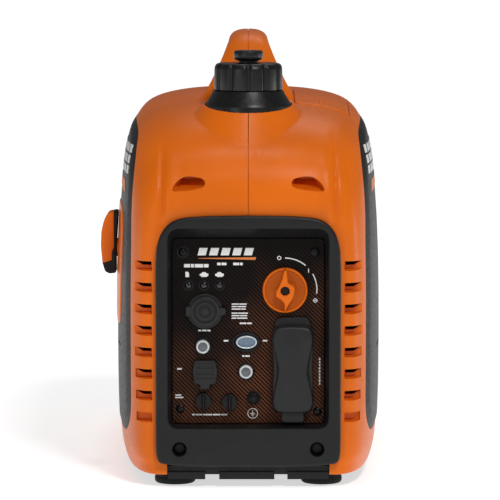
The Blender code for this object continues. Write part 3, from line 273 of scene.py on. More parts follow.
def above(base, profile):
    """A profile whose heights are given outwards, towards -Y, from the face at base."""
    return [(r, base - h) for r, h in profile]


def plate(name, outline, axis, low, high, edge, steps=3, both=False):
    """A flat outline carried from low to high, with the edge at the high end rounded, or at both ends."""
    way = math.copysign(1, high - low)
    layers = [(outline, low)]
    if both:
        layers = [(inset_loop(outline, edge * (1 - math.sin(a))), low + way * edge * (1 - math.cos(a)))
            for a in (math.pi / 2 * k / steps for k in range(steps + 1))]
    for k in range(steps + 1):
        a = math.pi / 2 * k / steps
        layers.append((inset_loop(outline, edge * (1 - math.cos(a))),
            high - way * edge * (1 - math.sin(a))))
    return stack(name, layers, axis)


# ---------------------------------------------------------------- materials
class Surface:
    """A Principled material under construction."""

    def __init__(self, name, roughness, metallic=0.0, coat=0.0):
        self.made = bpy.data.materials.new(name)
        self.made.use_nodes = True
        self.tree = self.made.node_tree
        self.shader = self.tree.nodes["Principled BSDF"]
        self.shader.inputs["Roughness"].default_value = roughness
        self.shader.inputs["Metallic"].default_value = metallic
        self.shader.inputs["Coat Weight"].default_value = coat
        self.place = self.node("ShaderNodeTexCoord").outputs["Object"]

    def node(self, kind, settings=None, inputs=None):
        made = self.tree.nodes.new(kind)
        for key, value in (settings or {}).items():
            setattr(made, key, value)
        for key, value in (inputs or {}).items():
            self.feed(made.inputs[key], value)
        return made

    def feed(self, socket, value):
        if isinstance(value, bpy.types.NodeSocket):
            self.tree.links.new(value, socket)
        else:
            socket.default_value = value

    def noise(self, size, detail=2.0, roughness=0.5, place=None):
        """Noise from 0 to 1 whose blobs are about size metres wide."""
        return self.node("ShaderNodeTexNoise", None,
            {"Vector": place or self.place, "Scale": 1.0 / size, "Detail": detail,
            "Roughness": roughness}).outputs[0]

    def maths(self, operation, first, second=0.0):
        made = self.node("ShaderNodeMath", {"operation": operation})
        self.feed(made.inputs[0], first)
        self.feed(made.inputs[1], second)
        return made.outputs[0]

    def wave(self, place, length):
        """The angle of a wave of this length at place."""
        return self.maths("MULTIPLY", place, 2 * math.pi / length)

    def axes(self):
        return self.node("ShaderNodeSeparateXYZ", None, {"Vector": self.place}).outputs

    def ranged(self, value, low, high, to_low=0.0, to_high=1.0):
        return self.node("ShaderNodeMapRange", {"interpolation_type": "SMOOTHSTEP"},
            {"Value": value, "From Min": low, "From Max": high, "To Min": to_low,
            "To Max": to_high}).outputs[0]

    def mix(self, share, first, second):
        made = self.node("ShaderNodeMix", {"data_type": "RGBA"})
        self.feed(made.inputs[0], share)
        for index, value in ((6, first), (7, second)):
            self.feed(made.inputs[index], (*value, 1.0) if isinstance(value, tuple) else value)
        return made.outputs[2]

    def specular(self, value):
        self.feed(self.shader.inputs["Specular IOR Level"], value)

    def colour(self, value):
        self.feed(self.shader.inputs["Base Color"], value)

    def roughness(self, value):
        self.feed(self.shader.inputs["Roughness"], value)

    def bump(self, height, distance, strength=1.0):
        made = self.node("ShaderNodeBump", None, {"Height": height, "Distance": distance,
            "Strength": strength})
        if self.shader.inputs["Normal"].is_linked:
            self.feed(made.inputs["Normal"], self.shader.inputs["Normal"].links[0].from_socket)
        self.tree.links.new(made.outputs[0], self.shader.inputs["Normal"])


def tinted(colour, by):
    return tuple(max(0.0, c * by) for c in colour)


def moulded(name, colour, roughness, relief=0.00006, drift=0.07, fleck=0.1, coat=0.0, specular=0.5):
    """Textured moulded plastic: fine grain, faint flow marks and uneven gloss."""
    made = Surface(name, roughness, coat=coat)
    made.specular(specular)
    fine = made.noise(0.0009, 3.0, 0.6)
    flow = made.noise(0.09, 3.0, 0.55)
    base = made.mix(made.ranged(flow, 0.3, 0.7), tinted(colour, 1 - drift), tinted(colour, 1 + drift))
    made.colour(made.mix(made.ranged(fine, 0.35, 0.75, 0.0, fleck), base, tinted(colour, 1.9)))
    made.roughness(made.ranged(made.noise(0.004, 4.0), 0.3, 0.7, roughness - 0.05, roughness + 0.06))
    made.bump(fine, relief)
    made.bump(flow, 0.0006, 0.12)
    return made.made


def rubbery(name, colour, roughness=0.72, grain=0.0006, relief=0.00005):
    made = Surface(name, roughness)
    made.specular(0.28)
    fine = made.noise(grain, 4.0, 0.7)
    dust = made.noise(0.012, 5.0, 0.6)
    base = made.mix(made.ranged(dust, 0.45, 0.8, 0.0, 0.5), colour, tinted(colour, 1.7))
    made.colour(made.mix(made.ranged(fine, 0.5, 0.8, 0.0, 0.25), base, tinted(colour, 2.0)))
    made.roughness(made.ranged(dust, 0.3, 0.8, roughness - 0.07, roughness + 0.1))
    made.bump(fine, relief)
    return made.made


def metal(name, colour, roughness, pits=0.0, brushed=0.0, stain=0.25, stain_colour=None):
    made = Surface(name, roughness, 1.0)
    cloud = made.noise(0.018, 5.0, 0.6)
    fine = made.noise(0.0011, 4.0, 0.65)
    made.colour(made.mix(made.ranged(cloud, 0.4, 0.8, 0.0, stain), colour,
        stain_colour or tinted(colour, 0.55)))
    made.roughness(made.ranged(cloud, 0.3, 0.75, roughness - 0.07, roughness + 0.13))
    if pits:
        made.bump(fine, pits)
    if brushed:
        scaled = made.node("ShaderNodeMapping", None,
            {"Vector": made.place, "Scale": (1.0, 0.03, 1.0)}).outputs[0]
        made.bump(made.noise(0.0004, 2.0, place=scaled), brushed)
    return made.made


FALLING_THREAD, RISING_THREAD, WIRE, STRAND = 0.0042, 0.003, 0.0011, 0.0032
ROPE_AT = (-0.13, 0.228)


def panel_film():
    """Printed weave: diagonal threads, near black at the upper left and copper at the lower right."""
    made = Surface("panel_weave", 0.34)
    made.specular(0.07)
    x, _, z = made.axes()
    falling = made.wave(made.maths("ADD", x, z), FALLING_THREAD)
    rising = made.wave(made.maths("SUBTRACT", x, z), RISING_THREAD)
    first = made.ranged(made.maths("SINE", falling), 0.45, 1.0)
    second = made.ranged(made.maths("SINE", rising), 0.45, 0.98)
    threads = made.maths("MAXIMUM", first, made.maths("MULTIPLY", second, 0.45))
    down = made.maths("MULTIPLY", made.maths("SUBTRACT", 0.162, z), 6.2)
    across = made.maths("ADD", made.maths("MULTIPLY", x, 3.6), down)
    cloud = made.maths("ADD", across, made.ranged(made.noise(0.05, 2.0), 0.3, 0.7, -0.18, 0.18))
    glow = made.ranged(cloud, -0.3, 0.66, 0.03, 1.0)
    dark = made.mix(glow, (0.0008, 0.0008, 0.0009), (0.0012, 0.0008, 0.0007))
    bright = made.mix(glow, (0.01, 0.0075, 0.007), (0.215, 0.07, 0.028))
    made.colour(made.mix(threads, dark, bright))
    made.roughness(made.ranged(made.noise(0.006, 4.0), 0.3, 0.7, 0.28, 0.42))
    made.bump(threads, 0.00002)
    return made.made


def printed(name, colour):
    made = Surface(name, 0.5)
    made.colour(made.mix(made.ranged(made.noise(0.0012, 3.0), 0.35, 0.7), tinted(colour, 0.86), colour))
    made.bump(made.noise(0.0005, 2.0), 0.00001)
    return made.made


def winding():
    """Enamelled copper wire, wound in fine rows, each row painted darker in its grooves and lighter on its
    crest: painted shade and highlight that follow the bump.
    """
    made = Surface("copper_winding", 0.32, 0.9)
    row = made.maths("SINE", made.wave(made.axes()[1], WIRE))
    # Painted shade in the grooves between turns and a painted highlight on each crest.
    made.colour(made.mix(made.ranged(row, -1.0, 1.0), (0.24, 0.07, 0.02), (0.72, 0.3, 0.12)))
    made.roughness(made.ranged(made.noise(0.003), 0.3, 0.7, 0.26, 0.45))
    made.bump(row, 0.00025)
    return made.made


def braid():
    """Starter rope: crossing strands along X."""
    made = Surface("rope_braid", 0.85)
    x, y, z = made.axes()
    along = made.wave(x, STRAND)
    up, out = made.maths("SUBTRACT", z, ROPE_AT[1]), made.maths("ADD", y, -ROPE_AT[0])
    around = made.maths("MULTIPLY", made.maths("ARCTAN2", up, out), 3.0)
    strands = made.maths("MULTIPLY", made.maths("SINE", made.maths("ADD", along, around)),
        made.maths("SINE", made.maths("SUBTRACT", along, around)))
    made.colour(made.mix(made.ranged(strands, -0.6, 0.9), (0.012, 0.012, 0.013), (0.17, 0.165, 0.16)))
    made.roughness(made.ranged(made.noise(0.0008), 0.3, 0.7, 0.75, 0.95))
    made.bump(strands, 0.0003)
    return made.made


ORANGE = moulded("orange_moulding", (0.72, 0.14, 0.0045), 0.35, fleck=0.04, specular=0.18)
# A darker copy of the shell's orange, used on the dial's disc as painted shade.
DIAL_SHADED_ORANGE = moulded("dial_painted_shade_moulding", (0.42, 0.08, 0.003), 0.5, fleck=0.06, specular=0.15)
CHARCOAL = moulded("charcoal_moulding", (0.0058, 0.006, 0.0063), 0.46, relief=0.00008,
    fleck=0.16, specular=0.32)
COVER = moulded("cover_moulding", (0.007, 0.0073, 0.0077), 0.46, relief=0.00006, fleck=0.14, specular=0.2)
FILM = panel_film()
RUBBER = rubbery("black_rubber", (0.0085, 0.0087, 0.009))
LID_RUBBER = rubbery("lid_rubber", (0.015, 0.0153, 0.0157), 0.46, grain=0.0013, relief=0.00016)
CAP = moulded("cap_moulding", (0.004, 0.0042, 0.0045), 0.34, relief=0.00007, fleck=0.2, specular=0.4)
SOCKET = moulded("socket_moulding", (0.007, 0.0072, 0.0075), 0.46, fleck=0.2, specular=0.35)
BUTTON_RING = moulded("button_ring_moulding", (0.66, 0.68, 0.68), 0.28, fleck=0.02)
BUTTON = moulded("button_moulding", (0.115, 0.125, 0.13), 0.3, fleck=0.1)
ROCKER = moulded("rocker_moulding", (0.105, 0.155, 0.225), 0.26, fleck=0.1, coat=0.3)
LENS = moulded("lamp_lens_moulding", (0.01, 0.0095, 0.01), 0.2, fleck=0.1, coat=0.15)
SCREW = metal("blackened_screw", (0.022, 0.022, 0.024), 0.36, pits=0.00003)
STEEL = metal("machined_steel", (0.52, 0.52, 0.53), 0.28, brushed=0.00002)
ALUMINIUM = metal("cast_aluminium", (0.6, 0.61, 0.62), 0.46, pits=0.00022, stain=0.35)
COPPER = winding()
MUFFLER = metal("heated_steel", (0.3, 0.28, 0.26), 0.5, pits=0.00008, stain=0.75,
    stain_colour=(0.2, 0.1, 0.05))
TANK = moulded("tank_moulding", (0.016, 0.016, 0.016), 0.55, fleck=0.2)
BRAID = braid()
PORCELAIN = moulded("glazed_porcelain", (0.8, 0.79, 0.74), 0.14, relief=0.00001, drift=0.03,
    fleck=0.0, coat=0.5)
WHITE_PRINT = printed("white_print", (0.83, 0.83, 0.82))
ORANGE_PRINT = printed("orange_print", (0.7, 0.2, 0.045))
# Near-black moulding: the jacks' own colour, and painted shade on the dark post set down the dial knob's
# eye.
BLACK_AND_PAINTED_SHADE = moulded("black_and_painted_shade_moulding", (0.003, 0.003, 0.003), 0.5, specular=0.3)


def paint(obj, colour):
    obj.data.materials.clear()
    obj.data.materials.append(colour)


SHARP_ANGLE = math.radians(32)


def dress(obj, colour, slot, *nodes, body="housing"):
    """Finishes a piece: material, smooth shading, place, body and the nodes it stands for. slot is not
    used.
    """
    assert obj.data.polygons, obj.name
    paint(obj, colour)
    obj.data.transform(TO_FRAME)
    obj.data.shade_smooth()
    obj.data.set_sharp_from_angle(angle=SHARP_ANGLE)
    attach(obj, body)
    if nodes:
        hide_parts(*nodes)
    return obj


# ---------------------------------------------------------------- the shell's form
SHELL_Y, WALL, CORNER_POWER, VOXEL = 0.262, 0.003, 2.7, 0.0022
END_OUTLINE = tenths([(840, 120), (845, 240), (920, 335), (925, 900), (925, 1600), (925, 2200), (905, 2450),
    (830, 2610), (700, 2695), (480, 2720), (240, 2727), (0, 2730)])
MIDDLE_OUTLINE = tenths([(1250, 120), (1290, 210), (1322, 420), (1340, 850), (1345, 1550), (1335, 2250),
    (1300, 2900), (1250, 3320), (1160, 3575), (980, 3732), (600, 3818), (0, 3850)])
FILLER = (0.0, -0.165)
BOSS_TOP, BOSS_TILT, BOSS_R, BOSS_SLOPE = 0.378, 0.165, 0.044, 0.98


def half_inset(outline, depth):
    made = []
    for i, (x, z) in enumerate(outline):
        before, after = outline[max(0, i - 1)], outline[min(len(outline) - 1, i + 1)]
        along = Vector((after[0] - before[0], after[1] - before[1])).normalized()
        made.append((max(0.0, x - along.y * depth) if x > 0 else 0.0, z + along.x * depth))
    return made


def shell_rings(depth, seam_x, outline_steps, end_steps):
    """Closed rings of the shell's right half, front to back, moved in by depth and closed at seam_x."""
    end = half_inset(smooth_line(END_OUTLINE, outline_steps), depth)
    middle = half_inset(smooth_line(MIDDLE_OUTLINE, outline_steps), depth)
    if depth:
        end[0], middle[0] = (end[0][0], -0.02), (middle[0][0], -0.02)
    rings = []
    for step in range(2 * end_steps + 1):
        turn = step / end_steps * math.pi / 2
        out = abs(math.sin(turn)) ** (2 / CORNER_POWER)
        y = -(SHELL_Y - depth) * math.copysign(abs(math.cos(turn)) ** (2 / CORNER_POWER), math.cos(turn))
        ring = [Vector((ex + (mx - ex) * out, y, ez + (mz - ez) * out)) for (ex, ez),
            (mx, mz) in zip(end, middle)]
        ring[-1].x = seam_x
        rings.append(ring + [Vector((seam_x, y, ring[0].z))])
    return rings


form = loft("form", shell_rings(0.0, -0.02, 72, 44))
tree = BVHTree.FromPolygons([v.co for v in form.data.vertices],
    [tuple(p.vertices) for p in form.data.polygons])


def side_point(y, z, side, lift):
    """The point of the shell's side over (y, z), moved outwards by lift."""
    hit = tree.ray_cast(Vector((0.4, y, z)), Vector((-1, 0, 0)))
    return Vector((side * (hit[0].x + lift), y, z))


def top_point(x, y, lift):
    hit = tree.ray_cast(Vector((x, y, 0.6)), Vector((0, 0, -1)))
    return Vector((x, y, hit[0].z + lift))


# The handle's centreline (y, z) with its half width and half thickness.
HANDLE = tenths([(-1120, 3600, 640, 200), (-1070, 3850, 460, 180), (-960, 4100, 325, 165),
    (-720, 4275, 240, 165), (-300, 4322, 220, 155), (300, 4305, 220, 155), (800, 4200, 240, 160),
    (1100, 4000, 300, 165), (1240, 3800, 400, 180), (1300, 3580, 500, 200)])


HANDLE_POWER, HANDLE_IN, HANDLE_STATIONS, HANDLE_AROUND = 0.8, 0.0012, 60, 24


def handle_half(name, wall, seam_x):
    """The handle's right half, squarer than an ellipse, moved in by wall and closed at seam_x."""
    line = smooth_line(HANDLE, HANDLE_STATIONS)
    wall += HANDLE_IN
    rings = []
    for i, (y, z, half_width, half_thick) in enumerate(line):
        before, after = line[max(0, i - 1)], line[min(HANDLE_STATIONS - 1, i + 1)]
        along = Vector((0.0, after[0] - before[0], after[1] - before[1])).normalized()
        across = Vector((0.0, -along.z, along.y))
        ring = []
        for k in range(HANDLE_AROUND + 1):
            angle = math.pi * (k / HANDLE_AROUND - 0.5)
            side = abs(math.cos(angle)) ** HANDLE_POWER
            rise = math.copysign(abs(math.sin(angle)) ** HANDLE_POWER, math.sin(angle))
            x = seam_x if k in (0, HANDLE_AROUND) else side * (half_width - wall)
            ring.append(Vector((x, y, z)) + across * (rise * (half_thick - wall)))
        rings.append(ring)
    return loft(name, rings)


def bell(value, centre, below, above):
    """1 at centre, falling off over below on one side and above on the other."""
    wide = np.where(value < centre, below, above)
    return np.exp(-((value - centre) / wide) ** 2)


def ramp(value, low, high):
    share = np.clip((value - low) / (high - low), 0.0, 1.0)
    return share * share * (3 - 2 * share)


RIDGE_X, RIDGE_HIGH, VALLEY_X, VALLEY_DEEP = 0.08, 0.0016, 0.0874, 0.0024


def press_creases(obj):
    """A soft ridge and a valley from each shoulder down to the bezel's upper corner."""
    count = len(obj.data.vertices)
    co = np.empty(count * 3, np.float32)
    obj.data.vertices.foreach_get("co", co)
    co = co.reshape(-1, 3)
    x, y, z = co.T
    lean = 0.02 * (z - 0.27)
    fold = RIDGE_HIGH * bell(x, RIDGE_X - lean, 0.0085, 0.0034) - VALLEY_DEEP * bell(x,
        VALLEY_X - lean, 0.0034, 0.0022)
    fold *= ramp(z, 0.258, 0.278) * (1 - ramp(z, 0.318, 0.362)) * ramp(np.abs(y), 0.12, 0.2)
    co[:, 1] += np.sign(y) * fold
    obj.data.vertices.foreach_set("co", co.astype(np.float32).ravel())
    obj.data.update()


def raise_boss(obj):
    """A conical boss under the filler collar, lower towards the front, that meets the shell in a crease."""
    for v in obj.data.vertices:
        x, y, z = v.co
        cone = BOSS_TOP + BOSS_TILT * min(0.0, y - FILLER[1])
        out = max(0.0, math.hypot(x - FILLER[0], y - FILLER[1]) - BOSS_R)
        cone -= BOSS_SLOPE * out + 14.0 * max(0.0, out - 0.022) ** 2
        if z > 0.3 and cone > z:
            v.co.z = cone


# A side cover's outline (y, z), from its lower front corner up, over the top and down the rear.
COVER_OUTLINE = tenths([(-1900, 470), (-2160, 510), (-2310, 620), (-2370, 800), (-2380, 1200),
    (-2380, 1700), (-2375, 2200), (-2350, 2480), (-2300, 2680), (-2245, 2880), (-2150, 3110), (-1960, 3320),
    (-1600, 3500), (-1000, 3575), (-300, 3585), (400, 3585), (1000, 3560), (1500, 3460), (1900, 3280),
    (2130, 3050), (2280, 2770), (2355, 2430), (2375, 2050), (2380, 1500), (2370, 900), (2310, 640),
    (2160, 510), (1900, 470), (700, 460), (-700, 460), ])
COVER_CENTRE = (0.0, 0.195)
cover_outline = smooth_loop(COVER_OUTLINE, 240)
SPARK_LID = (0.047, 0.103, -0.135, -0.015)
BROW_X, BROW_LOW, BROW_HIGH, BROW_BACK = 0.0586, 0.2961, 0.3108, -0.234
LOUVRE_COUNT, LOUVRE_LOW, LOUVRE_PITCH, LOUVRE_HEIGHT = 8, 0.0625, 0.0216, 0.0125
LOUVRE_IN, LOUVRE_INNER, LOUVRE_OUT, LOUVRE_DEEP = 0.0955, 0.1075, 0.115, -0.2505


def louvre_cutters():
    """Pockets whose floor climbs inwards. All but the lowest have a slit at the top, to the inside."""
    made = []
    for k in range(LOUVRE_COUNT):
        low = LOUVRE_LOW + k * LOUVRE_PITCH
        high = low + LOUVRE_HEIGHT
        outer = LOUVRE_OUT - 0.0005 * (LOUVRE_COUNT - 1 - k)
        made.append(hull(f"louvre_{k}", ((LOUVRE_IN, -0.28, low), (LOUVRE_IN, -0.28, high),
            (outer, -0.28, low), (outer, -0.28, high), (LOUVRE_IN, LOUVRE_DEEP, high - 0.0075),
            (LOUVRE_IN, LOUVRE_DEEP, high), (LOUVRE_INNER, LOUVRE_DEEP, high - 0.0075),
            (LOUVRE_INNER, LOUVRE_DEEP, high), (outer, LOUVRE_DEEP + 0.0045, low + 0.004),
            (outer, LOUVRE_DEEP + 0.0045, high))))
        if k:
            slit = [(LOUVRE_IN + 0.001, high - 0.0048), (LOUVRE_IN + 0.001, high - 0.0006),
                (0.1118, high - 0.0006), (0.105, high - 0.0046)]
            made.append(stack(f"louvre_slit_{k}",
                [(slit, LOUVRE_DEEP - 0.003), (slit, LOUVRE_DEEP + 0.014)], "Y"))
    return made


def brow_cutter():
    """A scoop under a low arch: its floor climbs inwards from the lower lip, deepest near the seam."""
    front = smooth_loop(tenths([(428, 3042), (450, 3072), (528, 3098), (620, 3102), (700, 3062),
        (750, 2990), (740, 2958), (660, 2958), (560, 2970), (450, 2998)]), 64)
    back = [(0.05 + (x - 0.0505) * 0.6, 0.3082 + (z - 0.3052) * 0.16) for x, z in front]
    return hull("brow", [(x, y, z) for x, z in front for y in (-0.258, -0.29)] + [(x, BROW_BACK, z)
        for x, z in back])


def seam_cutters():
    """Everything left of the seam, and a fine groove along it on the outside."""
    groove = box("groove", (-0.05, -0.36, -0.06), (0.00035, 0.36, 0.61))
    carve(groove, loft("groove_floor", shell_rings(0.0014, -0.055, 60, 24)),
        handle_half("groove_handle", 0.0014, -0.06))
    return [box("left_of_seam", (-0.06, -0.35, -0.05), (0.00002, 0.35, 0.6)), groove]


shell = gathered("right_shell_body", [form, handle_half("handle", 0.0, -0.025)])
step = shell.modifiers.new("skin", "REMESH")
step.mode, step.voxel_size = "VOXEL", VOXEL
step = shell.modifiers.new("fillets", "SMOOTH")
step.factor, step.iterations = 0.5, 6
baked(shell)
press_creases(shell)
raise_boss(shell)
hollow = shell_rings(WALL, -0.03, 30, 14)
cavity = loft("cavity", [[p + Vector((0, -0.05, 0)) for p in hollow[0]], *hollow,
    [p + Vector((0, 0.05, 0)) for p in hollow[-1]]])
carve(cavity, box("louvre_block", (0.09, -0.262, 0.055), (0.14, LOUVRE_DEEP + 0.0075, 0.24)),
    box("brow_block", (BROW_X - 0.019, -0.27, BROW_LOW - 0.003),
    (BROW_X + 0.019, BROW_BACK + 0.003, BROW_HIGH + 0.003)))
cover_hole = inset_loop(cover_outline, -0.0025)
carve(shell, cavity, handle_half("handle_hollow", WALL, -0.035), *seam_cutters(),
    stack("cover_hole", [(cover_hole, 0.095), (cover_hole, 0.17)], "X"), brow_cutter(), *louvre_cutters(),
    turned("collar_hole", tenths([(444, 3400), (444, 3770), (365, 3890), (365, 4300)]), FILLER, "Z", 64))
left = mirror_image(shell, "left_shell_body")
lid_hole = rectangle(SPARK_LID[0] - 0.0005, SPARK_LID[1] + 0.0005, SPARK_LID[2] - 0.0005,
    SPARK_LID[3] + 0.0005, 0.008)
carve(shell, stack("lid_hole", [(lid_hole, 0.3), (lid_hole, 0.41)], "Z"))
dress(shell, ORANGE, "orange_shell", "right_shell")
dress(left, ORANGE, "orange_shell", "left_shell")


# ---------------------------------------------------------------- side covers
def skin(name, outline, centre, project, inward, skirt, thickness, lifts):
    """A moulded panel over the shell: a skirt, then rings (share of the outline, lift) to its centre."""
    rings = [[project(u, v, lifts[0][1]) + inward * skirt for u, v in outline]]
    for share, lift in lifts:
        rings.append([project(centre[0] + (u - centre[0]) * share, centre[1] + (v - centre[1]) * share,
            lift) for u, v in outline])
    count, faces = len(outline), []
    for r in range(len(rings) - 1):
        for i in range(count):
            j = (i + 1) % count
            faces.append((r * count + i, r * count + j, (r + 1) * count + j, (r + 1) * count + i))
    points = [p for ring in rings for p in ring] + [project(*centre, lifts[-1][1])]
    last = (len(rings) - 1) * count
    faces += [(last + i, last + (i + 1) % count, len(points) - 1) for i in range(count)]
    obj = outward(mesh_object(name, points, faces))
    if sum((p.normal * p.area for p in obj.data.polygons), Vector()).dot(inward) > 0:
        edit(obj, lambda bm: bmesh.ops.reverse_faces(bm, faces=bm.faces))
    thick = obj.modifiers.new("wall", "SOLIDIFY")
    thick.thickness, thick.offset = thickness, -1.0
    return outward(baked(obj))


def flat(lift, *shares):
    """Rings for skin(), all at the same lift."""
    return [(share, lift) for share in shares]


COVER_LIFTS = [(1.0, -0.003), (0.9975, -0.0016), (0.994, -0.0008), (0.988, -0.0004), (0.975, 0.0),
    (0.955, 0.0007), (0.935, 0.0013)] + flat(0.0014, 0.928, 0.9, 0.85, 0.75, 0.6, 0.45, 0.3, 0.15)
SURROUND = smooth_loop(tenths([(-1890, 2500), (-1820, 2660), (-1620, 2745), (-1200, 2760), (-700, 2740),
    (-250, 2620), (100, 2400), (220, 2180), (80, 1980), (-350, 1800), (-900, 1630), (-1400, 1520),
    (-1700, 1560), (-1850, 1720), (-1905, 2100)]), 96)
SURROUND_CENTRE = (-0.115, 0.22)
SIDES = ((-1, "left"), (1, "right"))
GROOVE_LIFT, PRINT_LIFT = 0.0034, 0.0019


def on_side(side):
    return lambda y, z, lift: side_point(y, z, side, lift)


def side_patch(name, side, outline, lift, thickness=0.0008, count=4):
    """A thin shape that follows a side cover, its outer face lift above the shell."""
    centre = (sum(p[0] for p in outline) / len(outline), sum(p[1] for p in outline) / len(outline))
    return skin(name, even(outline, count * len(outline)), centre, on_side(side), Vector((-side, 0, 0)),
        0.0, thickness, [(1.0, lift - 0.0001)] + flat(lift, 0.97, 0.6, 0.3))


def cover_grooves(side):
    """Slanted grooves low on a cover, and one long groove over them, as cutters."""
    made = []
    for k in range(11):
        y = -0.09 + 0.025 * k
        outline = filleted([(y, 0.072), (y + 0.012, 0.072), (y + 0.03, 0.118),
            (y + 0.018, 0.118)], 0.004, 3)
        made.append(side_patch(f"groove_{k}", side, outline, GROOVE_LIFT, 0.003, 2))
    long_groove = rectangle(-0.19, 0.196, 0.133, 0.1362, 0.0015, 2)
    made.append(side_patch("long_groove", side, even(long_groove, 80), GROOVE_LIFT, 0.0028, 1))
    return made


for side, name in SIDES:
    cover = skin(name + "_side_cover", cover_outline, COVER_CENTRE, on_side(side), Vector((-side, 0, 0)),
        0.007, 0.0025, COVER_LIFTS)
    if side < 0:
        hole = inset_loop(SURROUND, -0.0012)
        cut(cover, stack("surround_hole", [(hole, -0.18), (hole, -0.1)], "X"))
    carve(cover, *cover_grooves(side))
    dress(cover, COVER, "side_cover", name + "_cover")

# A row of leaning white bars on each cover's shoulder, each in three pieces, over an orange flash.
for side, name in SIDES:
    bars = []
    for k in range(7):
        for row in range(3):
            y, z = -0.188 + 0.023 * k + 0.0048 * row, 0.3085 + 0.0102 * row
            corners = [(y, z), (y + 0.014, z), (y + 0.0174, z + 0.0074), (y + 0.0034, z + 0.0074)]
            bars.append(side_patch("bar", side, corners, PRINT_LIFT))
    dress(gathered(name + "_cover_print_white", bars), WHITE_PRINT, "side_cover")
    corners = tenths([(-1860, 2900), (-400, 2950), (-350, 3020), (-1790, 3010)])
    flash = side_patch("flash", side, corners, PRINT_LIFT)
    dress(flash, ORANGE_PRINT, "side_cover")

# ---------------------------------------------------------------- recoil surround, grip
surround = skin("recoil_surround_panel", SURROUND, SURROUND_CENTRE, on_side(-1), Vector((1, 0, 0)), 0.006,
    0.0025, [(1.0, 0.0), (0.99, 0.0014), (0.975, 0.0023)] + flat(0.0026, 0.93, 0.85, 0.6, 0.3))
join(surround, turned("eye_boss", tenths([(88, -1345), (95, -1340), (98, -1220), (98, -1200)]),
    ROPE_AT, "X", 48))
cut(surround, turned("eye_bore", tenths([(30, -1000), (30, -1320), (44, -1350), (44, -1600)]),
    ROPE_AT, "X", 32))
dress(surround, ORANGE, "orange_shell", "recoil_surround")

GRIP_OUTLINE = tenths([(-1325, 2668), (-1349, 2270), (-1349, 2025), (-1420, 2018), (-1465, 2040),
    (-1492, 2130), (-1508, 2300), (-1502, 2450), (-1475, 2570), (-1425, 2650)])
GRIP_RADII, GRIP_HALF = [0.0018, 0.01, 0.0022, 0.003, 0.004, 0.01, 0.02, 0.02, 0.02, 0.004], 0.012
GRIP_SPLIT = tenths([(-1600, 1950), (-1600, 2120), (-1462, 2135), (-1395, 2158), (-1395, 2240),
    (-1374, 2290), (-1374, 2750), (-1300, 2750), (-1300, 1950)])


def grip_block(name):
    outline = even(filleted(GRIP_OUTLINE, GRIP_RADII, 6), 90)
    return plate(name, outline, "Y", ROPE_AT[0] - GRIP_HALF, ROPE_AT[0] + GRIP_HALF, 0.002, 5, both=True)


def grip_cutter(name, outline):
    return stack(name, [(outline, -0.16), (outline, -0.1)], "Y")


core = boolean(grip_block("grip_rubber"), "INTERSECT", [grip_cutter("core_part", GRIP_SPLIT)], "MANIFOLD")
carve(core, turned("core_hole", [(0.0027, -0.1367), (0.0027, -0.13)], ROPE_AT, "X", 24))
dress(bevelled(core, 0.0003, 2), RUBBER, "rubber", "grip_core", body="starter_pull")
face_split = [(x - 0.0001 if x < -0.135 else x, z + 0.0001) for x, z in GRIP_SPLIT]
face = carve(grip_block("grip_shell"), grip_cutter("face_part", face_split))
dress(bevelled(face, 0.0003, 2), ORANGE, "orange_shell", "starter_grip", body="starter_pull")

# ---------------------------------------------------------------- spark plug lid
lid_outline = even(rectangle(*SPARK_LID, 0.008), 96)
lid_centre = ((SPARK_LID[0] + SPARK_LID[1]) / 2, (SPARK_LID[2] + SPARK_LID[3]) / 2)
lid = skin("spark_lid", lid_outline, lid_centre, top_point, Vector((0, 0, -1)), 0.005, 0.0022,
    [(1.0, -0.0006), (0.99, 0.0002), (0.975, 0.0008)] + flat(0.001, 0.94, 0.8, 0.6, 0.3))
ribs = []
for k in range(3):
    x = 0.069 + 0.0048 * k
    points = [top_point(x + 0.0012 * s, y, 0.0004) for y in (-0.124, -0.108) for s in (-1, 1)]
    points += [top_point(x + 0.0006 * s, y, 0.0022) for y in (-0.1225, -0.1095) for s in (-1, 1)]
    ribs.append(hull(f"lid_rib_{k}", points))
join(lid, *ribs)
dress(lid, ORANGE, "orange_shell", "spark_plug_lid", body="spark_plug_lid")

# ---------------------------------------------------------------- bezel
BEZEL_OUTLINE = tenths([(0, 210), (600, 216), (830, 238), (893, 262), (913, 330), (919, 450), (919, 900),
    (919, 1600), (919, 2200), (898, 2445), (825, 2600), (697, 2685), (480, 2712), (240, 2719), (0, 2722)])
half_line = smooth_line(BEZEL_OUTLINE, 70)
bezel_outer = even(half_line + [(-x, z) for x, z in half_line[-2:0:-1]], 220)
BEZEL_FACE, BEZEL_BACK, PANEL_Y = -0.27, -0.248, -0.2465


def frame_plate(name, back, step, face, rounding=0.0028):
    """A plate over the shell's open end: inside the wall up to step, and flush over it from there."""
    inner = inset_loop(bezel_outer, WALL + 0.0012)
    way = math.copysign(1, face - back)
    layers = [(inner, back), (inner, step), (inset_loop(bezel_outer, 0.0004), step + way * 0.0001),
        (bezel_outer, step + way * 0.0006)]
    for k in range(6):
        a = math.pi / 2 * k / 5
        layers.append((inset_loop(bezel_outer, rounding * (1 - math.cos(a))),
            face - way * rounding * (1 - math.sin(a))))
    return stack(name, layers, "Y")


bezel = frame_plate("panel_bezel", BEZEL_BACK, -SHELL_Y - 0.0004, BEZEL_FACE)

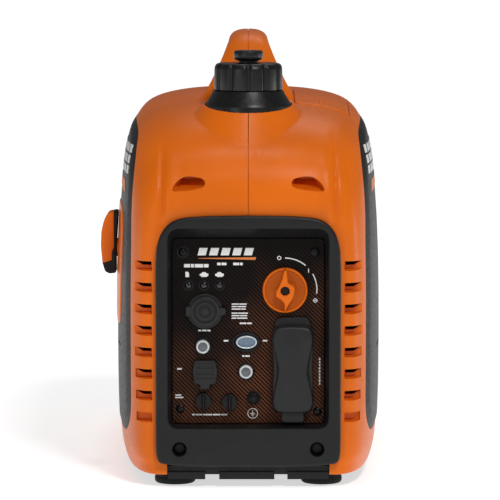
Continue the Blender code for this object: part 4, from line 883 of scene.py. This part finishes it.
# The recess from the front to the panel: half width, lowest and highest z, corner radius and y.
RECESS = [(0.0812, 0.0585, 0.2612, 0.0135, BEZEL_FACE - 0.003),
    (0.0808, 0.0589, 0.2607, 0.013, BEZEL_FACE - 0.0002),
    (0.0799, 0.0596, 0.2596, 0.012, BEZEL_FACE + 0.0006),
    (0.0793, 0.06, 0.259, 0.0112, BEZEL_FACE + 0.0022), (0.0764, 0.0618, 0.2484, 0.005, PANEL_Y - 0.001),
    (0.0764, 0.0618, 0.2484, 0.005, -0.23)]
recess = stack("recess", [(even(rectangle(-half, half, low, high, radius, 10), 200), y)
    for half, low, high, radius, y in RECESS], "Y")
BOLTS_AT = {"bezel_bolt_left": (-0.0685, 0.039), "bezel_bolt_right": (0.0685, 0.039)}
cut(bezel, recess)
for name, at in BOLTS_AT.items():
    cut(bezel, turned(name + "_well", tenths([(78, -2750), (74, -2698), (70, -2690), (68, -2560)]), at, "Y",
        48), turned(name + "_hole", [(0.0036, -0.26), (0.0036, -0.24)], at, "Y", 24))
dress(bezel, CHARCOAL, "charcoal_frame", "front_bezel")
for name, at in BOLTS_AT.items():
    head = turned(name + "_head", tenths([(30, -2420), (32, -2564), (56, -2566), (56, -2590), (51, -2598),
        (45, -2600)]), at, "Y", 40)
    cut(head, turned("hex", [(0.0028, -0.262), (0.0028, -0.2578)], at, "Y", 6))
    dress(head, SCREW, "black_screw", name)

# ---------------------------------------------------------------- panel, its screws and lamps
SCREWS_AT = {"panel_screw_top_left": (-0.0651, 0.2341), "panel_screw_top_right": (0.0663, 0.2341),
    "panel_screw_bottom_left": (-0.0678, 0.0769), "panel_screw_bottom_right": (0.069, 0.074)}
FACE_Y = PANEL_Y - 0.0003
screw_line = above(FACE_Y, tenths([(15, -80), (16, 0), (42, 0), (43, 6), (37, 13), (26, 18), (12, 20)]))
for n, (name, at) in enumerate(SCREWS_AT.items()):
    screw = turned(name + "_head", screw_line, at, "Y", 40)
    tip = Matrix.Rotation(math.radians(20 + 34 * n), 4, "Y")
    for k in (0, 1):
        blade = box(f"cross_{k}", (-0.0022, FACE_Y - 0.004, -0.00045), (0.0022, FACE_Y - 0.0008, 0.00045))
        place = Matrix.Translation((at[0], 0, at[1])) @ tip
        blade.data.transform(place @ Matrix.Rotation(math.pi / 2 * k, 4, "Y"))
        cut(screw, blade)
    dress(screw, SCREW, "black_screw", name)

washer = above(PANEL_Y, tenths([(46, 1), (49, 8), (57, 8), (61, 1)]))
dress(turned("panel_washer", washer, SCREWS_AT["panel_screw_top_left"], "Y", 48, hollow=True), SOCKET,
    "socket_plastic")

LAMP_R = 0.0033
LAMPS_AT = {"fuel_lamp": (-0.0597, 0.2006), "overload_lamp": (-0.0442, 0.2006),
    "ready_lamp": (-0.0288, 0.2006)}
for name, at in LAMPS_AT.items():
    dome = [(LAMP_R, PANEL_Y + 0.005), (LAMP_R, PANEL_Y)]
    dome += [(LAMP_R * math.cos(a), PANEL_Y - 0.0014 * math.sin(a))
        for a in (math.radians(15 * k) for k in range(1, 6))]
    dress(turned(name + "_dome", dome, at, "Y", 32), LENS, "lamp_lens", name)
    ring = above(PANEL_Y, tenths([(39, 1), (43, 7), (49, 6), (52, 1)]))
    dress(turned(name + "_ring", ring, at, "Y", 48, hollow=True), SOCKET, "socket_plastic")

paint(cad["control_panel"], FILM)
PRINT_LOW, PRINT_HIGH = PANEL_Y - 0.0001, PANEL_Y - 0.00022


def mark(outline):
    return stack("mark", [(outline, PRINT_LOW), (outline, PRINT_HIGH)], "Y")


def bar(x, z, width, height, slant=0.0):
    u, v = width / 2, height / 2
    return mark([(x - u, z - v), (x + u, z - v), (x + u + slant, z + v), (x - u + slant, z + v)])


def arc(centre, radius, width, start, end, steps=16):
    """A ring segment. Angles in degrees, clockwise from straight up."""
    turn = [math.radians(start + (end - start) * k / steps) for k in range(steps + 1)]
    outer, inner = ([(centre[0] + r * math.sin(a), centre[1] + r * math.cos(a)) for a in turn]
        for r in (radius + width / 2, radius - width / 2))
    return mark(outer + inner[::-1])


def dashes(x, z, widths, height, gap=0.0008):
    """A row of short bars in place of small lettering, starting at x."""
    made = []
    for width in widths:
        made.append(bar(x + width / 2, z, width, height))
        x += width + gap
    return made


KNOB_AT = (0.0366, 0.1963)
marks = [arc(KNOB_AT, 0.0318, 0.0011, 0, 40), arc(KNOB_AT, 0.0318, 0.0011, 60, 97)]
# The dial's three stops: an open ring, a bar, and a ring with a bar across.
marks += [arc((0.0308, 0.2282), 0.0017, 0.0008, 0, 180), arc((0.0308, 0.2282), 0.0017, 0.0008, 180, 360)]
marks += [bar(0.06, 0.2155, 0.0008, 0.004), arc((0.0668, 0.1856), 0.0017, 0.0008, 0, 360, 28),
    bar(0.0668, 0.1856, 0.0052, 0.0008)]
# A row of slanted bars over a thin line heads the panel.
marks += [bar(-0.0465 + 0.0115 * k, 0.2345, 0.0082, 0.0074, 0.002) for k in range(5)]
# Small symbols over the lamps: a can, and two motor outlines.
marks += [mark(filleted(tenths([(-627, 2090), (-590, 2090), (-590, 2128), (-602, 2144), (-627, 2144)]),
    0.0004, 3))]
for x in (-0.0442, -0.0288):
    marks.append(mark(filleted([(x - 0.0042, 0.2102), (x - 0.0028, 0.2102), (x - 0.0024, 0.2092),
        (x + 0.0024, 0.2092), (x + 0.0044, 0.2104), (x + 0.0044, 0.2126), (x + 0.0026, 0.2126),
        (x + 0.0016, 0.214), (x - 0.0016, 0.214), (x - 0.0024, 0.2126), (x - 0.0042, 0.2122)], 0.0003, 2)))
# Rows of dashes by the controls: x, z, height, gap and the dashes' widths, in tenths of a millimetre.
DASH_ROWS = [(-640, 2204, 34, 8, 60, 30, 85, 45), (-310, 2222, 26, 8, 35, 50), (-150, 2222, 26, 8, 60, 26),
    (-500, 1555, 16, 8, 30, 46, 30), (-85, 1627, 16, 8, 66, 46), (-245, 1452, 16, 8, 46),
    (145, 1452, 16, 8, 44), (-62, 1298, 16, 8, 24, 44), (-710, 1170, 16, 8, 46), (-730, 906, 13, 8, 60),
    (-730, 882, 13, 8, 82), (-560, 709, 15, 8, 24, 68, 90, 74, 62), (-166, 1820, 12, 6, 70, 74),
    (-166, 1795, 12, 6, 52, 86), (-166, 1770, 12, 6, 90, 44), (-166, 1729, 12, 6, 60, 96),
    (-166, 1704, 12, 6, 78, 70), (-166, 1679, 12, 6, 48, 102)]
for x, z, height, gap, *widths in tenths(DASH_ROWS):
    marks += dashes(x, z, widths, height, gap)
for k in range(9):
    marks.append(bar(0.0712, 0.102 + 0.0031 * k, 0.0014, 0.0022))
marks += [arc((0.0044, 0.0722), 0.0049, 0.0006, 0, 360, 36), bar(0.0044, 0.0722, 0.005, 0.0006),
    bar(0.0044, 0.0709, 0.003, 0.0005), bar(0.0044, 0.0698, 0.0014, 0.0005),
    bar(0.0044, 0.0739, 0.0005, 0.0032)]
dress(gathered("panel_print_white", marks), WHITE_PRINT, "panel_film")
wedge = [mark(tenths([(-500, 2276), (70, 2262), (78, 2290), (-500, 2280)]))]
dress(gathered("panel_print_orange", wedge), ORANGE_PRINT, "panel_film")

# ---------------------------------------------------------------- dial
KNOB_R, KNOB_Y, RIDGE_SPREAD = 0.0225, PANEL_Y - 0.0006, 1.16
disc_line = [(0.005, -0.232)] + above(KNOB_Y, [(0.005, 0.0), (KNOB_R, 0.0), (KNOB_R, 0.0042),
    (KNOB_R - 0.0003, 0.0053), (KNOB_R - 0.0012, 0.006), (KNOB_R - 0.0022, 0.006), (KNOB_R - 0.003, 0.0052),
    (0.01, 0.0046), (0.002, 0.0046)])
disc = turned("engine_dial", disc_line, KNOB_AT, "Y", 96)
RIDGE = smooth_loop(tenths([(-12, 210), (-34, 120), (-62, 40), (-86, -10), (-78, -62), (-42, -92),
    (-12, -130), (-10, -200), (6, -222), (26, -160), (76, -66), (90, 20), (70, 62), (34, 84), (26, 140),
    (16, 212)]), 96)
ridge_at = placed([(RIDGE_SPREAD * x, z) for x, z in RIDGE], KNOB_AT)
ridge_layers = tenths([(0, 48), (3, 90), (7, 128), (13, 142)])
ridge = stack("engine_dial_grip", [(inset_loop(ridge_at, by), KNOB_Y - h) for by, h in ridge_layers], "Y")
eye = [(0.0049, -0.28)] + above(KNOB_Y, tenths([(49, 142), (45, 134), (45, 70)]))
cut(ridge, turned("knob_eye", eye, KNOB_AT, "Y", 48))
# The disc takes the darker orange as painted shade; the grip and rim keep the shell's orange.
dress(disc, DIAL_SHADED_ORANGE, "orange_shell", "engine_knob", body="engine_knob")
dress(ridge, ORANGE, "orange_shell", body="engine_knob")
rim_line = above(KNOB_Y, [(KNOB_R - 0.0026, 0.005), (KNOB_R - 0.002, 0.0062), (KNOB_R - 0.001, 0.0064),
    (KNOB_R - 0.0002, 0.0056), (KNOB_R - 0.0001, 0.0046)])
dress(turned("dial_rim", rim_line, KNOB_AT, "Y", 96, hollow=True), ORANGE, "orange_shell",
    body="engine_knob")
# A dark post down the knob's eye: painted shade that makes the hole read as deep.
eye_shade = turned("dial_eye_painted_shade", above(KNOB_Y, tenths([(44, 60), (44, 100), (40, 104)])), KNOB_AT, "Y", 40)
dress(eye_shade, BLACK_AND_PAINTED_SHADE, "orange_shell", body="engine_knob")

# ---------------------------------------------------------------- rocker, breaker buttons
ROCKER_AT = (-0.0021, 0.1441)
frame_ring = [(circle(ROCKER_AT, 0.0119 + d, 0.0077 + d * 1.15, 64), h)
    for d, h in ((0.0, FACE_Y), (0.0, -0.249), (0.0004, -0.2496), (0.0014, -0.2497), (0.002, -0.249),
    (0.0023, FACE_Y))]
dress(stack("rocker_frame", frame_ring, "Y", wrap=True), SOCKET, "socket_plastic", "switch_frame")
ROCKER_SEAT = Matrix.Translation((ROCKER_AT[0], PANEL_Y, ROCKER_AT[1])) @ Matrix.Rotation(
    math.radians(5), 4, "Z")


def on_rocker(name, colour, layers, *nodes, wrap=False):
    """Ovals smaller by d at height h over the rocker's axis, tilted as the rocker is at rest."""
    made = stack(name, [(circle((0, 0), 0.0108 - d, 0.0068 - d, 64), h) for d, h in layers], "Y", wrap=wrap)
    made.data.transform(ROCKER_SEAT)
    dress(made, colour, "rocker_plastic", *nodes, body="eco_rocker")


on_rocker("eco_rocker_lens", ROCKER, tenths([(0, 30), (0, -36), (5, -44), (12, -46), (17, -43), (40, -42)]),
    "eco_rocker")
on_rocker("rocker_rim", BUTTON_RING, tenths([(6, -40), (4, -46), (10, -50), (16, -47), (17, -40)]),
    wrap=True)

SKIRT = above(PANEL_Y, tenths([(68, -40), (68, 46), (62, 58), (54, 60), (47, 54), (46, -40)]))
PUSH = above(PANEL_Y, tenths([(45, -38), (45, 46), (41, 52), (30, 56), (12, 58)]))
NUT = above(PANEL_Y, tenths([(70, 1), (70, 14), (78, 16), (86, 8), (87, 1)]))
for name, at in (("dc_breaker_button", (-0.0454, 0.1395)), ("ac_breaker_button", (-0.0023, 0.1143))):
    dress(turned(name + "_skirt", SKIRT, at, "Y", 64, hollow=True), BUTTON_RING, "button_plastic",
        name, body=name)
    dress(turned(name + "_cap", PUSH, at, "Y", 48), BUTTON, "button_plastic", body=name)
    dress(turned(name + "_collar", NUT, at, "Y", 48, hollow=True), SOCKET, "socket_plastic")

# ---------------------------------------------------------------- 12 V socket and its cover
DC_AT = (-0.0431, 0.1752)
socket = turned("dc_outlet", tenths([(108, -2120), (146, -2050), (146, -2468), (176, -2468), (178, -2480),
    (174, -2491), (165, -2494), (120, -2494), (108, -2486)]), DC_AT, "Y", 72, hollow=True)
join(socket, turned("dc_floor", [(0.013, -0.206), (0.013, -0.2122)], DC_AT, "Y", 48))
dress(socket, SOCKET, "socket_plastic", "dc_socket")
DC_PROFILE = tenths([(86, -2450), (96, -2498), (147, -2498), (150, -2506), (150, -2526), (146, -2536),
    (138, -2540), (119, -2540), (114, -2526), (99, -2526), (94, -2543), (64, -2545), (58, -2531),
    (43, -2531), (38, -2543), (10, -2545)])
dc_lid = turned("dc_lid", DC_PROFILE, DC_AT, "Y", 72)
tab = rectangle(DC_AT[0] + 0.012, DC_AT[0] + 0.0208, DC_AT[1] - 0.0036, DC_AT[1] + 0.0036, 0.003)
ear = rectangle(DC_AT[0] - 0.0193, DC_AT[0] - 0.012, DC_AT[1] - 0.005, DC_AT[1] + 0.005, 0.0016)
join(dc_lid, plate("dc_tab", tab, "Y", -0.2503, -0.2536, 0.0008),
    plate("dc_ear", ear, "Y", -0.2503, -0.2534, 0.0006))
dress(dc_lid, LID_RUBBER, "rubber", "dc_cover", body="dc_cover")

# ---------------------------------------------------------------- USB cover
USB_AT = (-0.0434, 0.1143)
usb_points = tenths([(-105, -115), (-50, -125), (-45, -172), (45, -172), (50, -125), (105, -115), (128, 0),
    (105, 115), (-105, 115), (-122, 0)])
usb_radii = [0.0016, 0.001, 0.0016, 0.0016, 0.001, 0.0016, 0.002, 0.002, 0.002, 0.002]
usb_outline = filleted(placed(usb_points, USB_AT), usb_radii, 5)
usb_lid = plate("usb_lid", usb_outline, "Y", -0.249, -0.2533, 0.0009, 4)
raised = rectangle(USB_AT[0] - 0.008, USB_AT[0] + 0.008, USB_AT[1] - 0.005, USB_AT[1] + 0.007, 0.002)
join(usb_lid, plate("usb_raised", raised, "Y", -0.252, -0.2537, 0.0005))
for z in (-0.0068, -0.002, 0.004, 0.0088):
    low = USB_AT[1] + z
    cut(usb_lid, box("usb_groove", (USB_AT[0] - 0.0095, -0.256, low),
        (USB_AT[0] + 0.0095, -0.2528, low + 0.0007)))
dress(usb_lid, LID_RUBBER, "rubber", "usb_cover", body="usb_cover")

# ---------------------------------------------------------------- AC cover
AC_X = 0.0444
CROWN, CROWN_Z, CROWN_HALF = 0.0034, 0.115, 0.047


def lid_loop(inset, waist):
    """The cover's outline, narrower at its waist, with the same number of points for every inset."""
    top, low, half = 0.1612 - inset, 0.0742 + inset, 0.0205 - inset
    shoulder = half - waist * 0.55
    points = [(half - 0.006, low), (half, low + 0.007), (half, low + 0.016), (shoulder, low + 0.029),
        (half - waist, 0.1176), (shoulder, top - 0.029), (half, top - 0.016), (half, top - 0.007),
        (half - 0.006, top)]
    points += [(-x, z) for x, z in points[::-1]]
    return [(AC_X + x, z) for x, z in smooth_loop(points, 18 * 8)]


AC_LAYERS = tenths([(4, 6, -2524), (0, 6, -2532), (0, 8, -2546), (5, 12, -2554), (10, 40, -2560),
    (13, 46, -2600), (18, 48, -2614), (28, 48, -2620), (42, 48, -2622)])
ac_lid = stack("ac_lid", [(lid_loop(inset, waist), y) for inset, waist, y in AC_LAYERS], "Y")
for v in ac_lid.data.vertices:
    if v.co.y < -0.255:
        v.co.y -= CROWN * max(0.0, 1.0 - ((v.co.z - CROWN_Z) / CROWN_HALF) ** 2)
tab = rectangle(AC_X - 0.0112, AC_X + 0.0112, 0.064, 0.076, 0.003)
join(ac_lid, plate("ac_tab", tab, "Y", -0.2524, -0.259, 0.0016, 4))
dress(ac_lid, LID_RUBBER, "rubber", "ac_cover", body="ac_cover")
outlet = plate("ac_outlet_plate", rectangle(AC_X - 0.0178, AC_X + 0.0178, 0.0762, 0.1692, 0.008), "Y",
    FACE_Y, -0.2516, 0.001)
join(outlet, box("ac_body", (AC_X - 0.016, -0.249, 0.0805), (AC_X + 0.016, -0.215, 0.1535)))
blades = []
for k, z in enumerate((0.137, 0.098)):
    for j, x in enumerate((-0.0063, 0.0063)):
        low, high = (AC_X + x - 0.0011, -0.26, z - 0.0038), (AC_X + x + 0.0011, -0.235, z + 0.0038)
        blades.append(box(f"blade_{k}_{j}", low, high))
    blades.append(turned(f"earth_{k}", [(0.0026, -0.26), (0.0026, -0.235)], (AC_X, z - 0.0105), "Y", 24))
cut(outlet, *blades)
dress(outlet, SOCKET, "socket_plastic", "ac_receptacle")

# ---------------------------------------------------------------- parallel jacks and ground terminal
JACK_LINE = [(0.006, -0.23), (0.006, FACE_Y), (0.008, FACE_Y), (0.008, -0.253), (0.0076, -0.2541),
    (0.0066, -0.2545)]
for name, at in (("parallel_jack_left", (-0.0447, 0.0852)), ("parallel_jack_right", (-0.0187, 0.0841))):
    jack = turned(name + "_body", JACK_LINE, at, "Y", 56)
    wing = hull(name + "_wing", [(at[0] + sx * w, y, at[1] + sz * h) for sx in (-1, 1) for sz in (-1, 1)
        for w, y, h in ((0.0022, -0.2535, 0.007), (0.0008, -0.2575, 0.0062))])
    join(jack, wing)
    dress(jack, BLACK_AND_PAINTED_SHADE, "rubber", name)
GROUND_AT = (0.0053, 0.0881)
ground = turned("ground_nut", [(0.0045, FACE_Y), (0.0056, -0.2472), (0.0056, -0.2524), (0.0048, -0.253)],
    GROUND_AT, "Y", 6)
thread = [(0.0029, -0.238)]
for k in range(9):
    thread += [(0.0029, -0.253 - 0.0005 * k), (0.0026, -0.25325 - 0.0005 * k)]
join(ground, turned("stud", thread + [(0.0024, -0.2578)], GROUND_AT, "Y", 32),
    turned("washer", tenths([(66, -2470), (67, -2476), (62, -2480), (50, -2480)]), GROUND_AT, "Y", 40))
dress(ground, SCREW, "black_screw", "ground_terminal")

# ---------------------------------------------------------------- filler collar, cap and vent knob
collar_line = tenths([(395, 3560), (440, 3560), (440, 3752), (437, 3762), (424, 3785), (403, 3818),
    (383, 3852), (362, 3890), (354, 3906), (346, 3910), (320, 3910), (315, 3905), (315, 3880), (395, 3750)])
dress(turned("collar_ring", collar_line, FILLER, "Z", 96, hollow=True), CAP, "cap_plastic", "filler_collar")
CAP_LOW, CAP_HIGH, CAP_R, FLUTES, FLUTE_STEPS = 0.3914, 0.4185, 0.035, 12, 240


def fluted(radius, depth):
    """A circle about the filler with hollows round it."""
    points = []
    for k in range(FLUTE_STEPS):
        angle = 2 * math.pi * k / FLUTE_STEPS
        flute = max(0.0, math.cos(FLUTES * angle)) ** 2.5
        r = radius - depth * flute
        points.append((FILLER[0] + r * math.cos(angle), FILLER[1] + r * math.sin(angle)))
    return points


# The cap's outline up its side: how far in, the flutes' depth and the height.
CAP_LAYERS = [(0.0006, 0.0022, CAP_LOW), (0.0, 0.0024, CAP_LOW + 0.0006), (0.0, 0.0025, CAP_LOW + 0.003),
    (0.0004, 0.0026, CAP_HIGH - 0.006), (0.001, 0.0024, CAP_HIGH - 0.0032),
    (0.0022, 0.0018, CAP_HIGH - 0.0014), (0.0042, 0.0008, CAP_HIGH - 0.0003), (0.0062, 0.0002, CAP_HIGH)]
cap = stack("filler_cap", [(fluted(CAP_R - by, depth), height) for by, depth, height in CAP_LAYERS], "Z")
cut(cap, turned("cap_hollow", [(0.0286, 0.38), (0.0286, 0.4145)], FILLER, "Z", 64))
dress(cap, CAP, "cap_plastic", "fuel_cap", body="fuel_cap")
VENT_LINE = tenths([(98, 4189), (98, 4206), (118, 4212), (138, 4222), (147, 4238), (148, 4262), (147, 4290),
    (143, 4303), (132, 4311), (110, 4312), (96, 4306), (40, 4305)])
vent = turned("vent_knob", VENT_LINE, FILLER, "Z", 64)
dress(vent, CAP, "cap_plastic", "cap_vent_knob", body="cap_vent_knob")

# ---------------------------------------------------------------- feet
FOOT_X, FOOT_Y = 0.0735, 0.228
FOOT_LINE = tenths([(176, 2), (184, 4), (196, 12), (203, 24), (205, 40), (204, 66), (200, 72), (200, 78),
    (204, 84), (203, 100), (190, 120)])
for y, end in ((-1, "front"), (1, "rear")):
    for x, side in SIDES:
        name = f"foot_{end}_{side}"
        foot = turned(name + "_pad", FOOT_LINE, (x * FOOT_X, y * FOOT_Y), "Z", 72)
        if y < 0:
            x_low, x_high = sorted((x * 0.0395, x * 0.081))
            cut(foot, box("step", (x_low, -0.27, 0.0073), (x_high, -0.2515, 0.02)))
        dress(foot, RUBBER, "rubber", name)

# ---------------------------------------------------------------- rear grille
TAIL_AT, TAIL_HALF = (0.035, 0.205), 0.026
grille = frame_plate("rear_grille_plate", 0.256, SHELL_Y + 0.0004, 0.267, 0.002)
SLOT_COUNT, SLOT_LOW, SLOT_PITCH, SLOT_HEIGHT, WIDE_UP_TO = 10, 0.056, 0.018, 0.0085, 0.165
slots = []
for k in range(SLOT_COUNT):
    low = SLOT_LOW + SLOT_PITCH * k
    for x0, x1 in [(-0.072, -0.002), (0.002, 0.072)][:2 if low < WIDE_UP_TO else 1]:
        outline = rectangle(x0, x1, low, low + SLOT_HEIGHT, 0.0035, 5)
        slots.append(stack(f"slot_{k}_{x0}", [([(u, v + 0.004) for u, v in outline], 0.25),
            (outline, 0.269)], "Y"))
cut(grille, *slots)
tail_opening = rectangle(TAIL_AT[0] - TAIL_HALF, TAIL_AT[0] + TAIL_HALF, TAIL_AT[1] - TAIL_HALF,
    TAIL_AT[1] + TAIL_HALF, 0.006)
tail_layers = [(tail_opening, 0.24), (tail_opening, 0.265), (inset_loop(tail_opening, -0.0014), 0.269)]
cut(grille, stack("tail_opening", tail_layers, "Y"))
dress(grille, CHARCOAL, "charcoal_frame", "rear_grille")

# ---------------------------------------------------------------- CAD nodes that keep their shape
KEPT = {TANK: ("fuel_tank", "air_filter_box"), CHARCOAL: ("base_tray",), RUBBER: ("cap_insert",),
    MUFFLER: ("muffler",), SOCKET: ("usb_socket", "recoil_housing", "recoil_pulley", "cooling_fan"),
    BRAID: ("starter_rope", "starter_rope_core"), STEEL: ("crankshaft", "rotor"), COPPER: ("stator",),
    PORCELAIN: ("spark_plug",), ALUMINIUM: ("crankcase", "cylinder", "cylinder_head", "carburetor",
    "inverter_module")}
for colour, names in KEPT.items():
    for name in names:
        paint(cad[name], colour)

# ---------------------------------------------------------------- floor, light and camera
FLOOR_HALF, FLOOR_Z = 40, -0.0002
floor = mesh_object("floor", [(FLOOR_HALF * x, FLOOR_HALF * y, FLOOR_Z)
    for x, y in ((-1, -1), (1, -1), (1, 1), (-1, 1))], [(0, 1, 2, 3)])
paper = Surface("pale_floor", 0.8)
paper.colour(paper.mix(paper.ranged(paper.noise(0.02, 3.0), 0.3, 0.7), (0.88, 0.88, 0.88), (0.9, 0.9, 0.9)))
paper.shader.inputs["Emission Color"].default_value = (1.0, 1.0, 1.0, 1.0)
away = paper.node("ShaderNodeVectorMath", {"operation": "LENGTH"}, {0: paper.place}).outputs["Value"]
paper.feed(paper.shader.inputs["Emission Strength"], paper.ranged(away, 0.25, 2.5, 0.62, 0.9))
floor.data.materials.append(paper.made)

world = bpy.data.worlds.new("studio")
scene.world = world
world.use_nodes = True
sky = world.node_tree.nodes["Background"].inputs
sky["Color"].default_value = (1.0, 1.0, 1.0, 1.0)
sky["Strength"].default_value = 0.15
scene.view_settings.view_transform = "Standard"


def soft_light(name, place, target, width, height, power):
    data = bpy.data.lights.new(name, "AREA")
    data.shape, data.size, data.size_y, data.energy = "RECTANGLE", width, height, power
    light = linked(name, data)
    light.location = place
    light.rotation_euler = (Vector(target) - Vector(place)).to_track_quat("-Z", "Y").to_euler()


MIDDLE = (0.0, 0.0, 0.2)
soft_light("key", (0.8, -2.3, 2.45), MIDDLE, 0.5, 0.5, 40)
soft_light("top", (0.02, -0.55, 2.5), MIDDLE, 0.25, 0.4, 7)
soft_light("fill_left", (-1.7, -2.6, 1.0), MIDDLE, 0.6, 1.2, 6)
soft_light("rim_right", (2.2, 0.2, 0.16), (0.0, 0.0, 0.12), 0.3, 0.3, 4.5)
soft_light("rim_left", (-2.2, 0.3, 0.2), (0.0, 0.0, 0.12), 0.3, 0.3, 1.2)
soft_light("back", (0.3, 1.9, 2.6), MIDDLE, 1.2, 1.0, 7)

CAMERA_TILT = 5.45
camera_data = bpy.data.cameras.new("camera")
camera_data.lens, camera_data.sensor_width = 292.3, 36.0
camera_data.clip_start, camera_data.clip_end = 0.05, 200.0
camera = linked("camera", camera_data)
camera.location = (0.009, -4.27, 0.62)
camera.rotation_euler = (math.radians(90 - CAMERA_TILT), 0.0, 0.0)
scene.camera = camera
